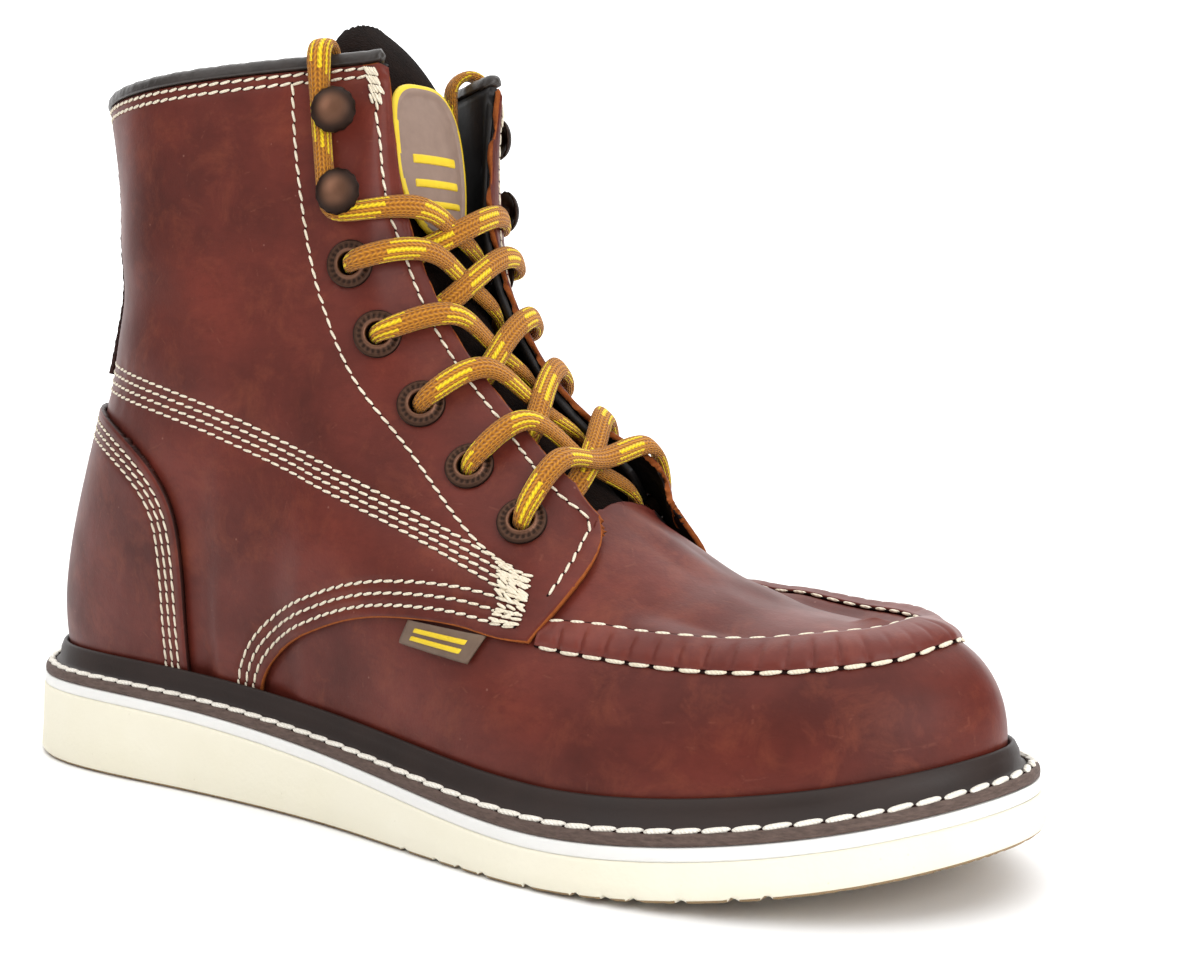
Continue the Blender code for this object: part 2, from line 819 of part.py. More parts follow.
# Eyelets and hooks, set on the quarter along each flap
EYELET_COLUMNS = ("x", "z")
EYELETS = ((193.6, 75.9), (176.8, 87.9), (161.7, 102.4), (149.2, 119.3), (141.6, 136.5))
HOOKS = ((139.0, 153.6), (136.7, 173.6))
HOLE_RADIUS = 3.8
TURN_COLUMNS = ("radius", "height")
EYELET_PROFILE = ((5.9, 0.9), (4.6, 1.8), (2.8, 1.0), (2.8, -3.6), (3.3, 0.7))
HOOK_PROFILE = ((0.0, 7.1), (3.2, 6.6), (5.2, 5.4), (5.75, 4.35), (1.7, 4.25), (1.7, 0.5), (0.0, 0.5))
EYELET_SIDES = 8
_seats = {}
for side in SIDES:
    for spot in EYELETS + HOOKS:
        s, v = locate(LATERAL, *spot)
        _seats[side, spot] = frame_at(side, s, v, LAYER)


def turned(bm, seat, profile, count):
    """A turned piece: rings of a profile about the outward normal of its seat."""
    point, out, up = seat
    right = np.cross(up, out)
    rings = []
    for radius, height in profile:
        angle = np.arange(count) * 2 * math.pi / count
        spread = np.cos(angle)[:, None] * right + np.sin(angle)[:, None] * up
        rings.append(point + out * height + spread * max(radius, 0.0001))
    return rings


def eyelet_solid(name, seat):
    bm = bmesh.new()
    rings = turned(bm, seat, EYELET_PROFILE, EYELET_SIDES)
    grid_faces(bm, rings + rings[:1], wrap=True)
    return add_object(name, bm, hardware_skin)


def hook_solid(name, seat):
    bm = bmesh.new()
    grid_faces(bm, turned(bm, seat, HOOK_PROFILE, EYELET_SIDES), wrap=True)
    bmesh.ops.remove_doubles(bm, verts=bm.verts, dist=0.000005)
    bmesh.ops.dissolve_degenerate(bm, edges=bm.edges, dist=0.000002)
    return add_object(name, bm, hardware_skin)


def hole_cutter(side):
    bm = bmesh.new()
    for spot in EYELETS:
        tube(bm, turned(bm, _seats[side, spot], ((HOLE_RADIUS, 4.0), (HOLE_RADIUS, -8.0)), 8))
    return cutter("hole_cutter_" + SIDE_NAMES[side], bm)


for side in SIDES:
    for number, spot in enumerate(EYELETS, 1):
        eyelet_solid("eyelet_%s_%d" % (SIDE_NAMES[side], number), _seats[side, spot])
    for number, spot in enumerate(HOOKS, 1):
        hook_solid("hook_%s_%d" % (SIDE_NAMES[side], number), _seats[side, spot])
    holes = hole_cutter(side)
    apply_step(quarters[side], holes)
    apply_step(upper, holes)

# Lace: a bar at the foot of the throat, crossings above it, and two ends over the collar
LACE_RADIUS = 1.7
LACE_CLEAR = 1.4
LACE_LIFT = LAYER + LACE_CLEAR + LACE_RADIUS
LACE_SIDES = 6


def edge_at(side, z, offset):
    """Point of the flap's front edge at a height."""
    s = np.linspace(CORNER_ROW, THROAT_ROW - 0.6, 120)
    heights = _top_line(s)[:, 2]
    at = float(np.interp(-z, -heights, s))
    return form(side, at, 1.0, offset)[0, 0]


def smooth_path(points, count):
    points = np.array(points, float)
    run = lengths(points)
    return spline(run, points)(np.linspace(0, run[-1], count))


def cord(bm, path, radius=LACE_RADIUS):
    """A round cord along a path."""
    tangent = np.gradient(path, axis=0)
    tangent /= np.linalg.norm(tangent, axis=1)[:, None]
    side_way = np.cross(tangent[0], (0.3, 0.2, 1.0))
    rings = []
    for point, direction in zip(path, tangent):
        side_way = side_way - direction * np.dot(side_way, direction)
        side_way = side_way / np.linalg.norm(side_way)
        other = np.cross(direction, side_way)
        angle = np.arange(LACE_SIDES) * 2 * math.pi / LACE_SIDES
        rings.append(point + radius * (np.cos(angle)[:, None] * side_way + np.sin(angle)[:, None] * other))
    tube(bm, rings)


def beside(side, spot, toward, distance, lift):
    """A point on the quarter, a distance from an eyelet or hook toward another point."""
    point, out, up = _seats[side, spot]
    way = toward - point
    way = way - out * np.dot(way, out)
    return point + way / np.linalg.norm(way) * distance + out * lift


OWN_RISE = (10.5, 8.0, 6.6, 3.2, 2.5, -3.4)
UNDER_RISE = (5.0, 7.5, 7.0, 7.0, 3.7)
MIDDLE_RISE = (2.6, 2.6, 2.6, 2.6, 2.8, 5.4)


def lace_strand(side, number):
    """From an eyelet or hook over its own flap edge, then down across the throat to the other flap."""
    spot = LADDER[number]
    own = spot[1] + OWN_RISE[number]
    under = LADDER[number - 1][1] + UNDER_RISE[number - 1]
    near = edge_at(side, own, LACE_LIFT)
    level = (own + under) / 2
    middle = 0.5 * (edge_at(LATERAL, level, MIDDLE_RISE[number]) + edge_at(MEDIAL, level, MIDDLE_RISE[number]))
    finish = edge_at(-side, under, 0.0)
    finish = finish + (middle - finish) * 0.42
    if spot in HOOKS:
        return [near, middle, finish]
    return [beside(side, spot, near, 7.6, LACE_CLEAR + LACE_RADIUS), near, middle, finish]


def lace_node(name, paths):
    pieces = []
    for number, points in enumerate(paths):
        bm = bmesh.new()
        cord(bm, smooth_path(points, 6))
        if number == 0:
            main = add_object(name, bm, lace_skin)
        else:
            apply_step(main, cutter("%s_strand_%d" % (name, number), bm), "UNION")
    return main


LADDER = EYELETS + HOOKS[:1]
bar_ends = {}
for side in SIDES:
    near = edge_at(side, EYELETS[0][1] + OWN_RISE[0], LACE_LIFT)
    bar_ends[side] = [beside(side, EYELETS[0], near, 7.6, LACE_CLEAR + LACE_RADIUS), near]
lace_node("lace_bar", [bar_ends[LATERAL] + bar_ends[MEDIAL][::-1]])
for number in range(1, len(LADDER)):
    lace_node("lace_cross_%d" % number, [lace_strand(side, number) for side in SIDES])

END_BACK = 4.0
LACE_ROLL_COLUMNS = ("out", "up")
LACE_ROLL = ((5.2, 0.6), (4.4, 3.9), (0.0, 6.4), (-4.7, 3.6), (-5.4, -1.5), (-5.2, -14.0))


def lace_end_path(side):
    """Up past both hooks, over the binding and a short way down inside the shaft."""
    path = []
    for spot in HOOKS:
        point, out, up = _seats[side, spot]
        back = np.cross(up, out) * side
        path.append(point + back * END_BACK + out * (0.4 + LACE_RADIUS))
    s, v = locate(LATERAL, HOOKS[1][0] - 6.0, 179.0)
    top = form(side, s, 1.0, 0.0)[0, 0]
    out = normals(side, np.array([s]), np.array([1.0]))[0, 0]
    for across_wall, up in LACE_ROLL:
        path.append(top + out * across_wall + np.array([0.0, 0.0, up]))
    return path


END_POINTS = 18


def lace_end(side):
    name = "lace_end_" + SIDE_NAMES[side]
    curve = bpy.data.curves.new(name, "CURVE")
    curve.dimensions = "3D"
    curve.bevel_depth = LACE_RADIUS * MM
    curve.bevel_resolution = 2
    curve.use_fill_caps = True
    line = curve.splines.new("POLY")
    path = place(smooth_path(lace_end_path(side), END_POINTS))
    line.points.add(len(path) - 1)
    for point, at in zip(line.points, path):
        point.co = (*at, 1.0)
    curve.materials.append(lace_skin)
    made = bpy.data.objects.new(name, curve)
    bpy.context.scene.collection.objects.link(made)
    return made


lace_ends = {side: lace_end(side) for side in SIDES}
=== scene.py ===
"""Right-foot moc-toe work boot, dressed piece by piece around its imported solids.

Sizes are in millimetres in the boot's own frame: x from the back of the sole to the toe, y to the
inner (medial) side, z up from the floor. place() turns them into the frame's metres.
"""
import math

import bmesh
import bpy
import numpy as np
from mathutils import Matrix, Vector
from mathutils.kdtree import KDTree


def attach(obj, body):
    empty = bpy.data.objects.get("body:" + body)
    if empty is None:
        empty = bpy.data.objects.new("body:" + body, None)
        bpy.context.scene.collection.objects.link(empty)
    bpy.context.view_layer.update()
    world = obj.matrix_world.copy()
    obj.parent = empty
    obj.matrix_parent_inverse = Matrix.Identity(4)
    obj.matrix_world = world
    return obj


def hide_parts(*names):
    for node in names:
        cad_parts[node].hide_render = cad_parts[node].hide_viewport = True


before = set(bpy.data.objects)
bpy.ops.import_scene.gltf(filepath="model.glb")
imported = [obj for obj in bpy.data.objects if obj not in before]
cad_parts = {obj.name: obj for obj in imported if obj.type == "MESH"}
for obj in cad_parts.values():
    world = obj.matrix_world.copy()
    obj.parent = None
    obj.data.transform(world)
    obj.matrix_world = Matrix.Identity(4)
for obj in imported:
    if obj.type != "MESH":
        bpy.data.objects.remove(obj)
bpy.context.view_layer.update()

# Upper
# One wall of oiled leather, pulled over a last and stitched to the welt round its feather edge.
# Outside it is the vamp; inside it carries a smooth black lining. Open at collar and throat.
MM = 0.001
WELD = 0.00002
GAP = 0.3
SOLE_LENGTH = 305.0
CENTRE = np.array([SOLE_LENGTH / 2, -1.0, 0.0])
LATERAL = -1
MEDIAL = 1
SIDES = (LATERAL, MEDIAL)
SIDE_NAMES = {LATERAL: "lateral", MEDIAL: "medial"}
OUTLINE_COLUMNS = ("x", "lateral", "medial")
OUTLINE = (
    (0.0, 0.0, 0.0),
    (3.0, 13.5, 13.5),
    (12.0, 26.0, 26.0),
    (28.0, 36.0, 36.0),
    (50.0, 40.3, 40.3),
    (85.0, 40.6, 38.2),
    (115.0, 41.3, 35.2),
    (145.0, 44.0, 34.8),
    (175.0, 49.3, 40.5),
    (200.0, 53.5, 47.5),
    (220.0, 55.0, 52.0),
    (240.0, 53.5, 53.0),
    (260.0, 48.5, 50.0),
    (280.0, 38.5, 42.5),
    (295.0, 24.0, 29.0),
    (303.0, 9.0, 14.0),
    (305.0, -3.0, 3.0),
)
SPRING_START = 205.0
TOE_SPRING = 12.8
THICKNESS_COLUMNS = ("x", "thick")
THICKNESS = (
    (0.0, 22.8),
    (60.0, 22.5),
    (100.0, 20.6),
    (140.0, 17.2),
    (175.0, 13.9),
    (205.0, 11.7),
    (240.0, 11.3),
    (305.0, 11.3),
)
FEATHER_INSET = 9.5
SHARE = np.linspace(0, 1, 481)
SECTION_COLUMNS = ("feather_x", "low_dx", "low_out", "low_up", "high_x", "high_y", "high_z",
                   "top_x", "top_y", "top_z")
SECTIONS = np.array((
    (9.5, -7.4, 0.0, 42.0, 45.0, 0.0, 93.0, 36.6, 0.0, 181.3),
    (18.0, -8.9, 7.0, 52.0, 58.0, 14.5, 94.0, 45.0, 22.3, 181.3),
    (46.0, 0.0, 5.5, 45.0, 75.0, 35.3, 100.0, 67.0, 38.0, 181.8),
    (85.0, 0.0, 8.5, 50.0, 104.0, 39.5, 112.0, 103.0, 41.5, 182.8),
    (120.0, 4.0, 10.0, 52.0, 139.0, 34.0, 130.0, 146.5, 22.2, 185.8),
    (142.0, 4.0, 10.0, 50.0, 155.0, 33.0, 112.0, 147.4, 17.0, 150.0),
    (160.0, 4.0, 9.5, 46.0, 170.0, 32.5, 95.0, 162.0, 14.5, 118.0),
    (177.0, 4.0, 8.5, 42.0, 186.0, 31.5, 85.0, 180.0, 14.0, 98.5),
    (190.0, 3.0, 7.0, 38.0, 199.5, 30.0, 78.5, 197.8, 16.0, 82.6),
    (202.0, 2.0, 5.0, 36.0, 207.0, 27.0, 74.5, 202.0, 0.0, 80.0),
    (222.0, 0.0, 3.0, 34.0, 223.0, 27.0, 68.0, 222.0, 0.0, 68.5),
    (246.0, 0.0, 2.5, 30.0, 245.0, 28.0, 61.0, 243.0, 0.0, 61.5),
    (268.0, 1.0, 2.0, 28.0, 263.0, 25.0, 58.5, 256.0, 0.0, 59.5),
    (286.0, 3.0, 1.5, 25.0, 280.0, 16.0, 56.5, 263.0, 0.0, 58.8),
    (295.5, 5.5, 0.0, 22.0, 290.0, 0.0, 55.5, 268.0, 0.0, 58.3),
))
CORNER_ROW = 4
THROAT_ROW = 9
LAST_ROW = len(SECTIONS) - 1
TOE_SWAY = 3.0
SWAY_REACH = (225.0, 296.0)
LEATHER = 1.7
LAYER = LEATHER + GAP
WALL = 2.0
COUNTER_FOOT_X = (87.0, 96.0)
QUARTER_FOOT_X = (114.0, 128.0)
QUARTER_END_ROWS = (8.0, 10.5)
LAYER_SHIFT = (0.2, 0.6)
CREASE_COLUMNS = ("x_from", "z_from", "x_to", "z_to", "half_width", "rise")
CREASES = np.array((
    (214.0, 76.0, 226.0, 60.0, 6.5, -1.1),
    (222.0, 80.0, 236.0, 60.0, 7.0, 0.6),
    (60.0, 107.0, 192.0, 64.0, 6.0, -0.35),
    (44.0, 132.0, 84.0, 127.0, 9.0, -0.7),
    (44.0, 146.0, 78.0, 143.0, 8.0, 0.4),
    (96.0, 150.0, 118.0, 118.0, 11.0, -0.5),
    (112.0, 62.0, 150.0, 72.0, 10.0, 0.5),
))
CREASE_FROM = 0.25
CREASE_TO = 0.9


def spline(knots, values, closed=False):
    """Cubic curve through the values: natural at its ends, or periodic when closed."""
    t = np.asarray(knots, float)
    y = np.asarray(values, float).reshape(len(t), -1)
    n = len(t)
    h = np.diff(t)
    slope = np.diff(y, axis=0) / h[:, None]
    matrix = np.zeros((n, n))
    right = np.zeros_like(y)
    for i in range(1, n - 1):
        matrix[i, i - 1:i + 2] = h[i - 1], 2 * (h[i - 1] + h[i]), h[i]
        right[i] = 6 * (slope[i] - slope[i - 1])
    if closed:
        matrix[0, [0, 1, n - 2]] = 2 * (h[0] + h[-1]), h[0], h[-1]
        right[0] = 6 * (slope[0] - slope[-1])
        matrix[-1, [0, n - 1]] = 1, -1
    else:
        matrix[0, 0] = 1
        matrix[-1, -1] = 1
    bend = np.linalg.solve(matrix, right)

    def curve(at):
        at = np.atleast_1d(np.asarray(at, float))
        i = np.clip(np.searchsorted(t, at, side="right") - 1, 0, n - 2)
        a = ((t[i + 1] - at) / h[i])[:, None]
        b = 1 - a
        square = (h[i] ** 2 / 6)[:, None]
        return a * y[i] + b * y[i + 1] + ((a ** 3 - a) * bend[i] + (b ** 3 - b) * bend[i + 1]) * square

    return curve


def smooth_step(low, high, at):
    k = np.clip((np.asarray(at, float) - low) / (high - low), 0, 1)
    return k * k * (3 - 2 * k)


def lengths(points):
    """Running length along a polyline."""
    return np.concatenate([[0], np.cumsum(np.linalg.norm(np.diff(points, axis=0), axis=1))])


def unit(vectors):
    return vectors / np.linalg.norm(vectors, axis=-1, keepdims=True)


def on_line(at, run, points):
    """Points on a line by their place in its running measure."""
    return np.column_stack([np.interp(at, run, points[:, k]) for k in range(points.shape[1])])


def place(points):
    return (np.asarray(points, float) - CENTRE) * MM


def ground(x):
    rise = np.clip(np.asarray(x, float) - SPRING_START, 0, None) / (SOLE_LENGTH - SPRING_START)
    return TOE_SPRING * rise ** 2


sole_thickness = spline([row[0] for row in THICKNESS], [row[1] for row in THICKNESS])


def sole_top(x):
    return ground(x) + sole_thickness(np.clip(x, 0, SOLE_LENGTH))[:, 0]


def outline_side(side, inset):
    """One side of the sole's outline from heel back to toe tip, moved inward."""
    lateral = [(row[0], -row[1]) for row in OUTLINE]
    medial = [(row[0], row[2]) for row in OUTLINE[-2::-1]]
    ring = np.array(lateral + medial)
    knots = lengths(ring)
    toe = knots[len(OUTLINE) - 1]
    total = knots[-1]
    curve = spline(knots, ring, closed=True)
    start = 0.0 if side == LATERAL else total
    at = start + (toe - start) * SHARE
    step = 0.05
    tangent = unit(curve((at + step) % total) - curve((at - step) % total))
    inward = np.stack([-tangent[:, 1], tangent[:, 0]], axis=1)
    return curve(at) + inward * inset


def outline_at(side, inset, share):
    return on_line(share, SHARE, outline_side(side, inset))


section_rows = np.arange(len(SECTIONS), dtype=float)
section_handles = spline(section_rows, SECTIONS[:, :7])
TOP_CUTS = (0, CORNER_ROW, THROAT_ROW, LAST_ROW)
top_pieces = [spline(section_rows[a:b + 1], SECTIONS[a:b + 1, 7:]) for a, b in zip(TOP_CUTS, TOP_CUTS[1:])]
feather_line = {side: outline_side(side, FEATHER_INSET) for side in SIDES}


def top_line(s):
    out = np.zeros((len(s), 3))
    for k, piece in enumerate(top_pieces):
        chosen = (s >= TOP_CUTS[k]) & (s <= TOP_CUTS[k + 1])
        out[chosen] = piece(s[chosen])
    return out


def feather_share(side, s):
    line = feather_line[side]
    x = np.clip(section_handles(s)[:, 0], line[0, 0], line[-1, 0])
    share = np.interp(x, line[:, 0], SHARE)
    share[s <= 0] = 0
    share[s >= LAST_ROW] = 1
    return share


def sway(x):
    """The forefoot swings to the inner side toward the toe tip."""
    return TOE_SWAY * smooth_step(*SWAY_REACH, x)


TOE_SEAM_COLUMNS = ("s", "v_outer", "v_inner")
TOE_SEAM = np.array((
    (9.0, 0.398, 0.462),
    (9.5, 0.410, 0.492),
    (10.0, 0.428, 0.525),
    (10.5, 0.450, 0.555),
    (11.0, 0.473, 0.595),
    (11.5, 0.490, 0.630),
    (12.0, 0.505, 0.668),
    (12.5, 0.533, 0.710),
    (13.0, 0.573, 0.756),
    (13.5, 0.626, 0.810),
    (14.0, 0.672, 0.850),
))
SHOULDER_COLUMNS = ("s", "rise")
SHOULDER = np.array(((8.0, 0.0), (9.2, 2.2), (10.0, 2.4), (10.5, 2.1), (11.0, 1.5), (11.5, 0.6), (12.0, 0.0),
                     (12.5, -0.6), (13.0, -0.6), (14.0, 0.0)))
SHOULDER_BELOW = 0.2
SHOULDER_FULL = 0.03
SHOULDER_END = 0.2
PLUG_SINK = 4.2
PLUG_ROWS = (9.4, 10.9)
PLUG_EASE_ROWS = (12.5, 14.0)
PLUG_EASE = 0.5
PLUG_START = 0.01
PLUG_REACH = 0.32
seam_edges = spline(TOE_SEAM[:, 0], TOE_SEAM[:, 1:])


def toe_level(s, side, v):
    """The plug lies flatter than the last, and the seam's shoulder stands higher on the inner side."""
    low, high = seam_edges(np.clip(s, TOE_SEAM[0, 0], LAST_ROW)).T
    reach = 1.0 - high
    top = smooth_step(high - PLUG_START, high + SHOULDER_END * reach, v)
    grown = smooth_step(low - SHOULDER_BELOW, low + SHOULDER_FULL, v)
    shoulder = np.interp(s, SHOULDER[:, 0], SHOULDER[:, 1]) * grown * (1 - top)
    sink = PLUG_SINK * smooth_step(*PLUG_ROWS, s) * (1 - PLUG_EASE * smooth_step(*PLUG_EASE_ROWS, s))
    sink = sink * smooth_step(high - PLUG_START, high + PLUG_REACH * reach, v)
    return np.where(side == MEDIAL, shoulder, 0.0) - sink


def envelope(q, v):
    """The visible outer form. q runs from the toe (-14) down the outer side to the back seam (0)
    and up the inner side to the toe (14); v runs from the feather edge (0) to the top line (1)."""
    s = np.abs(q)
    side = np.where(q < 0, LATERAL, MEDIAL)
    hand = section_handles(s)
    top = top_line(s)
    feather = np.zeros((len(s), 2))
    for one in SIDES:
        chosen = side == one
        feather[chosen] = outline_at(one, FEATHER_INSET, feather_share(one, s[chosen]))
    foot = np.column_stack([feather, sole_top(feather[:, 0]) + GAP])
    low = foot + np.column_stack([hand[:, 1], side * hand[:, 2], hand[:, 3]])
    high = np.column_stack([hand[:, 4], side * hand[:, 5] + sway(hand[:, 4]), hand[:, 6]])
    end = np.column_stack([top[:, 0], side * top[:, 1] + sway(top[:, 0]), top[:, 2]])
    level = toe_level(s, side, v)
    v = v[:, None]
    points = (1 - v) ** 3 * foot + 3 * v * (1 - v) ** 2 * low + 3 * v ** 2 * (1 - v) * high + v ** 3 * end
    points[:, 2] += level
    return points


def outward(q, v):
    """Outward normals of the visible form."""
    step = 0.01
    s = np.abs(q)
    side = np.where(q < 0, LATERAL, MEDIAL)
    along = (envelope(side * np.clip(s + step, 0, LAST_ROW), v)
             - envelope(side * np.clip(s - step, step / 100, LAST_ROW), v))
    up = envelope(q, np.clip(v + step, 0, 1)) - envelope(q, np.clip(v - step, 0, 1))
    out = np.cross(along, up) * -side[:, None]
    nothing = np.zeros(len(q))
    back = s <= 0
    front = s >= LAST_ROW
    ridge = (s >= THROAT_ROW) & (v >= 1)
    out[back] = np.stack([-up[:, 2], nothing, up[:, 0]], axis=1)[back]
    out[front] = np.stack([up[:, 2], nothing, -up[:, 0]], axis=1)[front]
    out[ridge] = np.stack([-along[:, 2], nothing, along[:, 0]], axis=1)[ridge]
    return unit(out)


def underlay(s, v):
    """How far the leather layers on top hold the upper's own wall below the visible form."""
    foot_x = section_handles(s)[:, 0]
    counter_end = smooth_step(*COUNTER_FOOT_X, foot_x)
    quarter_end = smooth_step(*QUARTER_FOOT_X, foot_x)
    low = LAYER * (2 - counter_end - quarter_end)
    high = LAYER * (1 - smooth_step(*QUARTER_END_ROWS, s))
    k = smooth_step(*LAYER_SHIFT, v)
    return low * (1 - k) + high * k


def creases(points):
    """Soft troughs and ridges, placed in the side view and pressed into every layer alike."""
    rise = np.zeros(len(points))
    here = points[:, [0, 2]]
    for x0, z0, x1, z1, half_width, height in CREASES:
        start = np.array([x0, z0])
        run = np.array([x1, z1]) - start
        t = np.clip((here - start) @ run / (run @ run), 0, 1)
        miss = np.linalg.norm(here - start - t[:, None] * run, axis=1)
        rise += height * np.exp(-(miss / half_width) ** 2)
    return rise


def every_pair(first, second):
    """Each value of one list with each of another, as two flat arrays."""
    return [net.ravel() for net in np.meshgrid(first, second, indexing="ij")]


SEARCH_REACH = (0.09, 0.014)
SEARCH_ROUNDS = 11
SEARCH_SHRINK = 0.55


def locate(x, z):
    """The s and v where the outer side of the form stands at x and z in the side view."""
    target = np.column_stack([np.atleast_1d(x), np.atleast_1d(z)])
    s_fine, v_fine = every_pair(np.linspace(0, LAST_ROW, 169), np.linspace(0, 1, 81))
    if not hasattr(locate, "net"):
        locate.net = envelope(-s_fine, v_fine)[:, [0, 2]]
    near = [int(np.argmin(np.sum((locate.net - at) ** 2, axis=1))) for at in target]
    here = np.column_stack([s_fine[near], v_fine[near]])
    reach = np.array(SEARCH_REACH)
    shifts = np.array([(a, b) for a in (-1, -0.5, 0, 0.5, 1) for b in (-1, -0.5, 0, 0.5, 1)])
    for _ in range(SEARCH_ROUNDS):
        tries = np.clip(here[:, None] + shifts[None] * reach, [0.0, 0.005], [LAST_ROW - 0.01, 1.0])
        seen = envelope(-tries[..., 0].ravel(), tries[..., 1].ravel())[:, [0, 2]].reshape(tries.shape)
        best = np.argmin(np.sum((seen - target[:, None]) ** 2, axis=2), axis=1)
        here = tries[np.arange(len(here)), best]
        reach = reach * SEARCH_SHRINK
    return here


def smooth_line(rows, count):
    """Evenly spaced points of a smooth line through a table's rows."""
    points = np.array(rows, float)
    run = lengths(points)
    return spline(run, points)(np.linspace(0, run[-1], count))


QUARTER_FRONT_COLUMNS = ("row", "height")
QUARTER_FRONT = (
    (8.00, 1.000),
    (8.24, 0.958),
    (8.63, 0.888),
    (9.00, 0.826),
    (9.20, 0.778),
    (9.30, 0.720),
    (9.33, 0.655),
    (9.28, 0.575),
    (9.15, 0.490),
    (8.89, 0.394),
)
front_line = smooth_line(QUARTER_FRONT, 40)
flap_top = float(front_line[0, 0])
FLARE = 1.6
FLARE_REACH = 10.0
STAND_OFF = {LATERAL: 1.3, MEDIAL: 4.5}
STAND_REACH = {LATERAL: 19.0, MEDIAL: 14.0}
STAND_FROM = 1.2
FLAP_POINTS = 60
FREE_POINTS = 31
LOOSE_ROWS = (6.9, 8.0)
LOOSE_SHARE = 0.6
FLAP_MARGIN = 0.15
flap_rows = np.linspace(CORNER_ROW, flap_top, FLAP_POINTS)
free_front = front_line[1:FREE_POINTS + 1]
free_edge = np.concatenate([np.column_stack([flap_rows, np.ones(FLAP_POINTS)]), free_front])
free_share = np.concatenate([
    smooth_step(*LOOSE_ROWS, flap_rows),
    1 - smooth_step(LOOSE_SHARE, 1.0, np.linspace(0, 1, FREE_POINTS)),
])
edge_lines = {side: envelope(side * free_edge[:, 0], free_edge[:, 1]) for side in SIDES}


def front_at(v):
    """The s of the quarter's front edge at each v."""
    return np.interp(v, front_line[::-1, 1], front_line[::-1, 0])


def flare(q, v, points, on_top):
    """How far the flaps stand off the foot near their free edges; the loose quarter stands off more."""
    rise = np.zeros(len(q))
    s = np.abs(q)
    front = front_at(v) + FLAP_MARGIN
    for side in SIDES:
        chosen = np.where(q < 0, LATERAL, MEDIAL) == side
        gap = np.sqrt(np.sum((points[chosen][:, None] - edge_lines[side][None]) ** 2, axis=2))
        lifted = np.clip(1 - gap / STAND_REACH[side], 0, 1) ** 2 * free_share
        loose = STAND_OFF[side] * np.max(lifted, axis=1, initial=0)
        nearby = np.min(gap[:, :FLAP_POINTS], axis=1, initial=FLARE_REACH)
        close = FLARE * np.clip(1 - nearby / FLARE_REACH, 0, 1) ** 2
        rise[chosen] = close + loose * (on_top & (s <= front))[chosen]
    return rise


def wall(q, v, lift):
    """Points of the upper's own wall, lifted outward by so many millimetres."""
    q = np.atleast_1d(np.asarray(q, float))
    v = np.broadcast_to(np.asarray(v, float), q.shape)
    lift = np.broadcast_to(np.asarray(lift, float), q.shape)
    points = envelope(q, v)
    fade = smooth_step(0.0, CREASE_FROM, v) * (1 - smooth_step(CREASE_TO, 1.0, v))
    out = lift - underlay(np.abs(q), v) + creases(points) * fade + flare(q, v, points, lift >= STAND_FROM)
    points = points + outward(q, v) * out[:, None]
    foot = v <= 0
    points[foot, 2] = sole_top(points[foot, 0]) + GAP
    return points


def colour(code):
    """An sRGB hex value as the linear colour that a shader takes."""
    parts = [int(code[i:i + 2], 16) / 255 for i in (1, 3, 5)]
    return tuple(((c + 0.055) / 1.055) ** 2.4 if c > 0.04045 else c / 12.92 for c in parts) + (1.0,)


def add(tree, kind, settings, links=None, to=None):
    """One node with its settings, its inputs joined to other nodes and its first output to the shader."""
    made = tree.nodes.new(kind)
    for key, value in settings.items():
        if isinstance(key, int) or key in made.inputs:
            made.inputs[key].default_value = value
        else:
            setattr(made, key, value)
    for key, source in (links or {}).items():
        tree.links.new(source, made.inputs[key])
    if to:
        tree.links.new(made.outputs[0], tree.nodes["Principled BSDF"].inputs[to])
    return made


def start_material(name, settings):
    """A new material with its principled shader's own sockets set, and its object coordinates."""
    made = bpy.data.materials.new(name)
    made.use_nodes = True
    tree = made.node_tree
    shader = tree.nodes["Principled BSDF"]
    for key, value in settings.items():
        shader.inputs[key].default_value = value
    coords = add(tree, "ShaderNodeTexCoord", {})
    return made, tree, coords.outputs["Object"]


